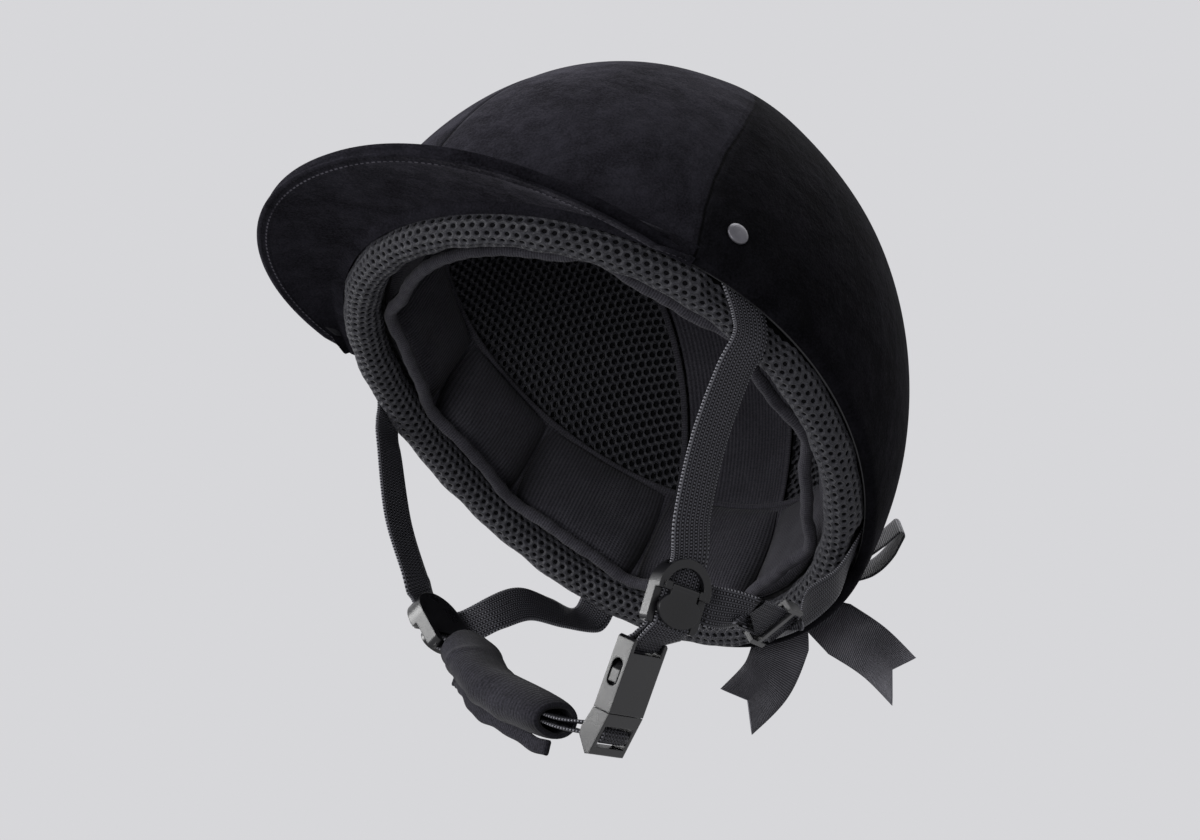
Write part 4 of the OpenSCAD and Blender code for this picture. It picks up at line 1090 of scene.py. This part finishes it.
# Padded sleeve on the chin strap, its ends as parameters of the strap's line
SLEEVE_FROM = 1.12
SLEEVE_TO = 4.02
SLEEVE_H = 8.6
SLEEVE_W = WEB_W / 2 + 4.6
SLEEVE_WALL = 2.0
SLEEVE_SIDE_WALL = 2.2
SLEEVE_DRAW = 1.6
HEM_W = 6.0
HEM_T = 2.0
# Creases as place along the sleeve, height and turn in radians
SLEEVE_FOLDS = ((0.3, 0.9, 0.8), (0.42, 1.3, -0.7), (0.55, 1.1, 0.6), (0.68, 0.8, -0.4), (0.84, 0.7, 0.3))


def sleeve_lift(f, b):
    """How far creases lift the cloth, f of the way along and at angle b round it."""
    fold = 0
    for at, size, turn in SLEEVE_FOLDS:
        along = (f - at - 0.05 * np.sin(b + turn)) / 0.028
        fold = fold + size * np.exp(-along ** 2) * (0.5 - 0.5 * np.sin(b - turn))
    return fold + 0.25 * np.sin(b * 3 + f * 11) + 0.2 * np.sin(b * 2 - f * 17)


def sleeve():
    n, m = 110, 44
    b = (np.arange(m) + 0.5) * 2 * math.pi / m
    outer, inner = [], []
    for f in np.linspace(0, 1, n + 1):
        s = mix(SLEEVE_FROM, SLEEVE_TO, f)
        c = spline(CHIN_LINE, s)
        way = belt_dir(CHIN_LINE, s)
        x = unit(flat(BAR_AXIS, way))
        y = np.cross(way, x)
        lift = sleeve_lift(f, b) - SLEEVE_DRAW * abs(2 * f - 1) ** 14
        wide = SLEEVE_W + lift
        high = SLEEVE_H + lift
        outer.append(c + x * (wide * np.cos(b))[:, None] + y * (high * np.sin(b))[:, None])
        inner.append(c + x * ((wide - SLEEVE_SIDE_WALL) * np.cos(b))[:, None]
                     + y * ((high - SLEEVE_WALL) * np.sin(b))[:, None])
    grid = np.array(outer + inner[::-1])
    u = np.linspace(0, 2 * 88, len(grid) + 1)
    return surface("sleeve_knit", grid, u, 1.4, SLEEVE_KNIT, True, True)


def sleeve_hem():
    at = np.linspace(SLEEVE_FROM + 0.03, SLEEVE_TO - 0.02, 70)
    down = np.array([belt_side(CHIN_LINE, s, BAR_AXIS) for s in at])
    wave_up = 0.5 * np.sin(at * 7) + 0.3 * np.sin(at * 17)
    line = np.array([spline(CHIN_LINE, s) for s in at]) + down * (SLEEVE_H + 2.6 + wave_up)[:, None]
    return strip("sleeve_hem_knit", line, down, HEM_W, HEM_T, SLEEVE_KNIT)


# Ribbon bow, which narrows to the share PINCH at its knot
KNOT = np.array([0, HALF[1] + 4.6, 39.8])
KNOT_HALF = (8.6, 4.6, 10.4)
PINCH = 0.5
NOTCH = 9.0


def bow_loop(name, side):
    steps = 24
    line = [KNOT + [side * x, y, z] for x, y, z in
            ((10.2, 0.4, 4.2), (15, 1.2, 7), (27, 3, 14), (37, 1, 20.5), (43, -2, 24.5))]
    wide = unit([-side * 0.6, 0.3, 0.74])
    path, wides = belt(line, wide, wide, 1.2, 1.5, bulge=2.6, steps=steps)
    grow = [mix(PINCH, 1, min(1, 0.2 + 1.8 * i / steps)) for i in range(steps + 1)]
    spread = np.array([PINCH] * len(ARC) + grow + [1] * len(ARC) + grow[::-1])
    loop = strip(name, path, wides, spread * RIBBON_W, RIBBON_T, RIBBON, closed=True)
    around(path)[-1]
    return loop


def bow_tail(name, points, wides):
    n = 60
    line = sample(np.array(points) + KNOT, n)
    spread = np.array([mix(PINCH, 1, min(1, 3 * i / n)) for i in range(n + 1)])
    tail = strip(name, line, sample(wides, n), spread * RIBBON_W, RIBBON_T, RIBBON, notch=NOTCH)
    lengths(line)[-1]
    return tail


def bow_knot():
    b = np.linspace(0, 2 * math.pi, 97)[:-1, None]
    t = np.linspace(0.02, math.pi - 0.02, 41)[None]
    pleat = 1 + 0.05 * np.cos(t * 9)
    grid = KNOT + xyz(
        KNOT_HALF[0] * np.cos(t), KNOT_HALF[1] * np.sin(t) * np.cos(b) * pleat,
        KNOT_HALF[2] * np.sin(t) ** 0.6 * np.sin(b) * pleat)
    return surface("ribbon_knot", grid, 0.8, 0.6, RIBBON, close_u=True)


def bow():
    return [
        bow_knot(),
        bow_loop("ribbon_loop_left", 1),
        bow_loop("ribbon_loop_right", -1),
        bow_tail("ribbon_tail_left",
                 [(4.7, 2.9, -11), (19, 11, -17), (36, 19, -26), (52.5, 25.5, -39.3)],
                 [(-0.3, 0.5, -0.8), (-0.45, 0.55, -0.7), (-0.6, 0.55, -0.6), (-0.634, 0.54, -0.555)]),
        bow_tail("ribbon_tail_right",
                 [(-3.3, 1.9, -9.8), (-8, 8, -22), (-9.5, 10, -42), (-11, 3, -65.5)],
                 [(1, 0.3, 0), (0.7, 0.7, 0), (0.4, 0.9, 0), (0.2, 0.98, 0)]),
    ]


# Pieces: each rides on its body and stands for its CAD nodes
def place(obj, nodes, body="helmet"):
    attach(obj, body)
    if nodes:
        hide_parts(*nodes)


place(covers(), ["cover_front_left", "cover_front_right", "cover_rear_left", "cover_rear_right"])
place(crown_button(), ["top_button"])
place(peak(), ["peak_cover_top", "peak_cover_under", "peak_piping"])
place(roll(), ["rim_roll"])
place(roll_filling(), [])
place(headband(), ["headband"])
place(headband_edge(), ["headband_piping"])
# Each pad from and to its angles round the head
PADS = {
    "brow_pad": (-132, -48), "temple_pad_left": (-48, -12), "temple_pad_right": (192, 228),
    "side_front_pad_left": (-12, 18), "side_front_pad_right": (162, 192),
    "side_rear_pad_left": (18, 54), "side_rear_pad_right": (126, 162),
    "rear_pad_left": (54, 90), "rear_pad_right": (90, 126),
}
for node, (a0, a1) in PADS.items():
    place(pad("knit_" + node, a0, a1), [node])
place(crown_backing(), ["crown_lining"])
place(crown_net("crown_mesh_right", -1, 46), [])
place(crown_net("crown_mesh_left", 1, 1), [])
place(crown_panel(), ["crown_strap_pad"])
for obj, nodes in zip(crown_edges(), (["crown_binding"], [], [])):
    place(obj, nodes)
STRAPS = ["front_strap_left", "front_strap_right", "rear_strap_left", "rear_strap_right"]
for obj, node in zip(straps(), STRAPS):
    place(obj, [node])
short_loop, chin_loop = loops()
place(short_loop, ["buckle_strap"])
place(chin_loop, ["chin_strap"], body="chin")
place(sleeve(), ["chin_sleeve"], body="sleeve")
place(sleeve_hem(), ["sleeve_hem"], body="sleeve")
BOW = ["bow_knot", "bow_loop_left", "bow_loop_right", "bow_tail_left", "bow_tail_right"]
for obj, node in zip(bow(), BOW):
    place(obj, [node])

# Materials of the CAD nodes that show, and of those inside
CAD_MATERIALS = {
    "shell_plastic": SHELL_PLASTIC, "liner_foam": FOAM, "peak_board": BOARD, "rivet_steel": RIVET,
    "harness_plastic": PLASTIC, "pin_steel": STEEL, "velvet": VELVET, "lining_mesh": MESH,
    "lining_knit": KNIT, "webbing": WEBBING, "sleeve_knit": SLEEVE_KNIT, "ribbon": RIBBON,
}
slots = {row["node"]: row["material_slot"] for row in frame["record"]["subparts"]}
for node, obj in frame["nodes"].items():
    obj.data.materials.clear()
    obj.data.materials.append(CAD_MATERIALS[slots[node]])


# Stage, in metres: soft lights and a pale floor under the straps. The floor is clear from below, and
# to shadow rays and reflections, as lamps stand below it
WORLD_LIGHT = 0.2
WORLD_SEEN = 0.95
FLOOR_SIZE = 8
FLOOR_Z = -0.16


def world():
    made = bpy.data.worlds.new("studio")
    bpy.context.scene.world = made
    made.use_nodes = True
    tree = made.node_tree
    rays = add(tree, "LightPath").outputs
    seen = maths(tree, "MAXIMUM", rays["Is Camera Ray"],
                 maths(tree, "MAXIMUM", rays["Is Glossy Ray"], rays["Is Transmission Ray"]))
    put(tree, tree.nodes["Background"], {
        "Color": linear("dcdcdf"), "Strength": levels(tree, seen, 0, 1, WORLD_LIGHT, WORLD_SEEN)})


def floor_paint():
    mat, tree, shader = start("pale_floor_paint")
    rays = add(tree, "LightPath").outputs
    grain = noise(tree, 40, 3)
    put(tree, shader, {"Base Color": blend_colour(tree, grain, "d4d4d6", "dcdcde"),
                       "Roughness": 0.9})
    to_lamp = maths(tree, "MAXIMUM", rays["Is Shadow Ray"], rays["Is Glossy Ray"])
    clear = maths(tree, "MAXIMUM", add(tree, "NewGeometry").outputs["Backfacing"], to_lamp)
    glass = add(tree, "BsdfTransparent")
    both = add(tree, "MixShader", {0: clear, 1: shader.outputs[0], 2: glass.outputs[0]})
    tree.links.new(both.outputs[0], tree.nodes["Material Output"].inputs[0])
    return mat


def ground():
    bpy.ops.mesh.primitive_plane_add(size=FLOOR_SIZE, location=(0, 0, FLOOR_Z))
    floor = bpy.context.object
    floor.name = "floor"
    floor.data.materials.append(floor_paint())


# The camera's directions, place and lens, found from the photographed outline
RIGHT = Vector((0.7361, 0.5669, 0.3698))
UP = Vector((0.1717, -0.6849, 0.7082))
BACK = Vector((0.6548, -0.4578, -0.6015))
CAMERA_AT = (0.7865, -0.5517, -0.7118)
LENS_MM = 88.97
SENSOR_MM = 36


def light(name, right, up, back, size, watts):
    """An area light placed along the camera's directions, facing the helmet."""
    data = bpy.data.lights.new(name, "AREA")
    data.shape = "RECTANGLE"
    data.size, data.size_y = size
    data.energy = watts
    obj = in_scene(name, data)
    where = RIGHT * right + UP * up + BACK * back
    away = where.normalized()
    side = UP.cross(away).normalized()
    turn = Matrix((side, away.cross(side), away)).transposed()
    obj.matrix_world = Matrix.Translation(where) @ turn.to_4x4()


def camera():
    data = bpy.data.cameras.new("camera")
    data.sensor_width = SENSOR_MM
    data.lens = LENS_MM
    data.clip_start, data.clip_end = 0.05, 20
    obj = in_scene("camera", data)
    rows = Matrix((RIGHT, UP, BACK)).transposed()
    obj.matrix_world = Matrix.Translation(CAMERA_AT) @ rows.to_4x4()
    bpy.context.scene.camera = obj


world()
ground()
light("key", -0.95, 0.65, 0.4, (0.7, 0.7), 6)
light("left", -1.0, 0.18, -0.06, (0.95, 0.22), 8)
light("inside", -0.5, 0.1, 1.1, (0.4, 0.4), 5)
light("top", 0.2, 1.1, -0.5, (0.9, 0.6), 6)
light("behind", 0.7, 0.8, -1.0, (0.8, 0.8), 3)
camera()
bpy.context.scene.view_settings.view_transform = "Standard"
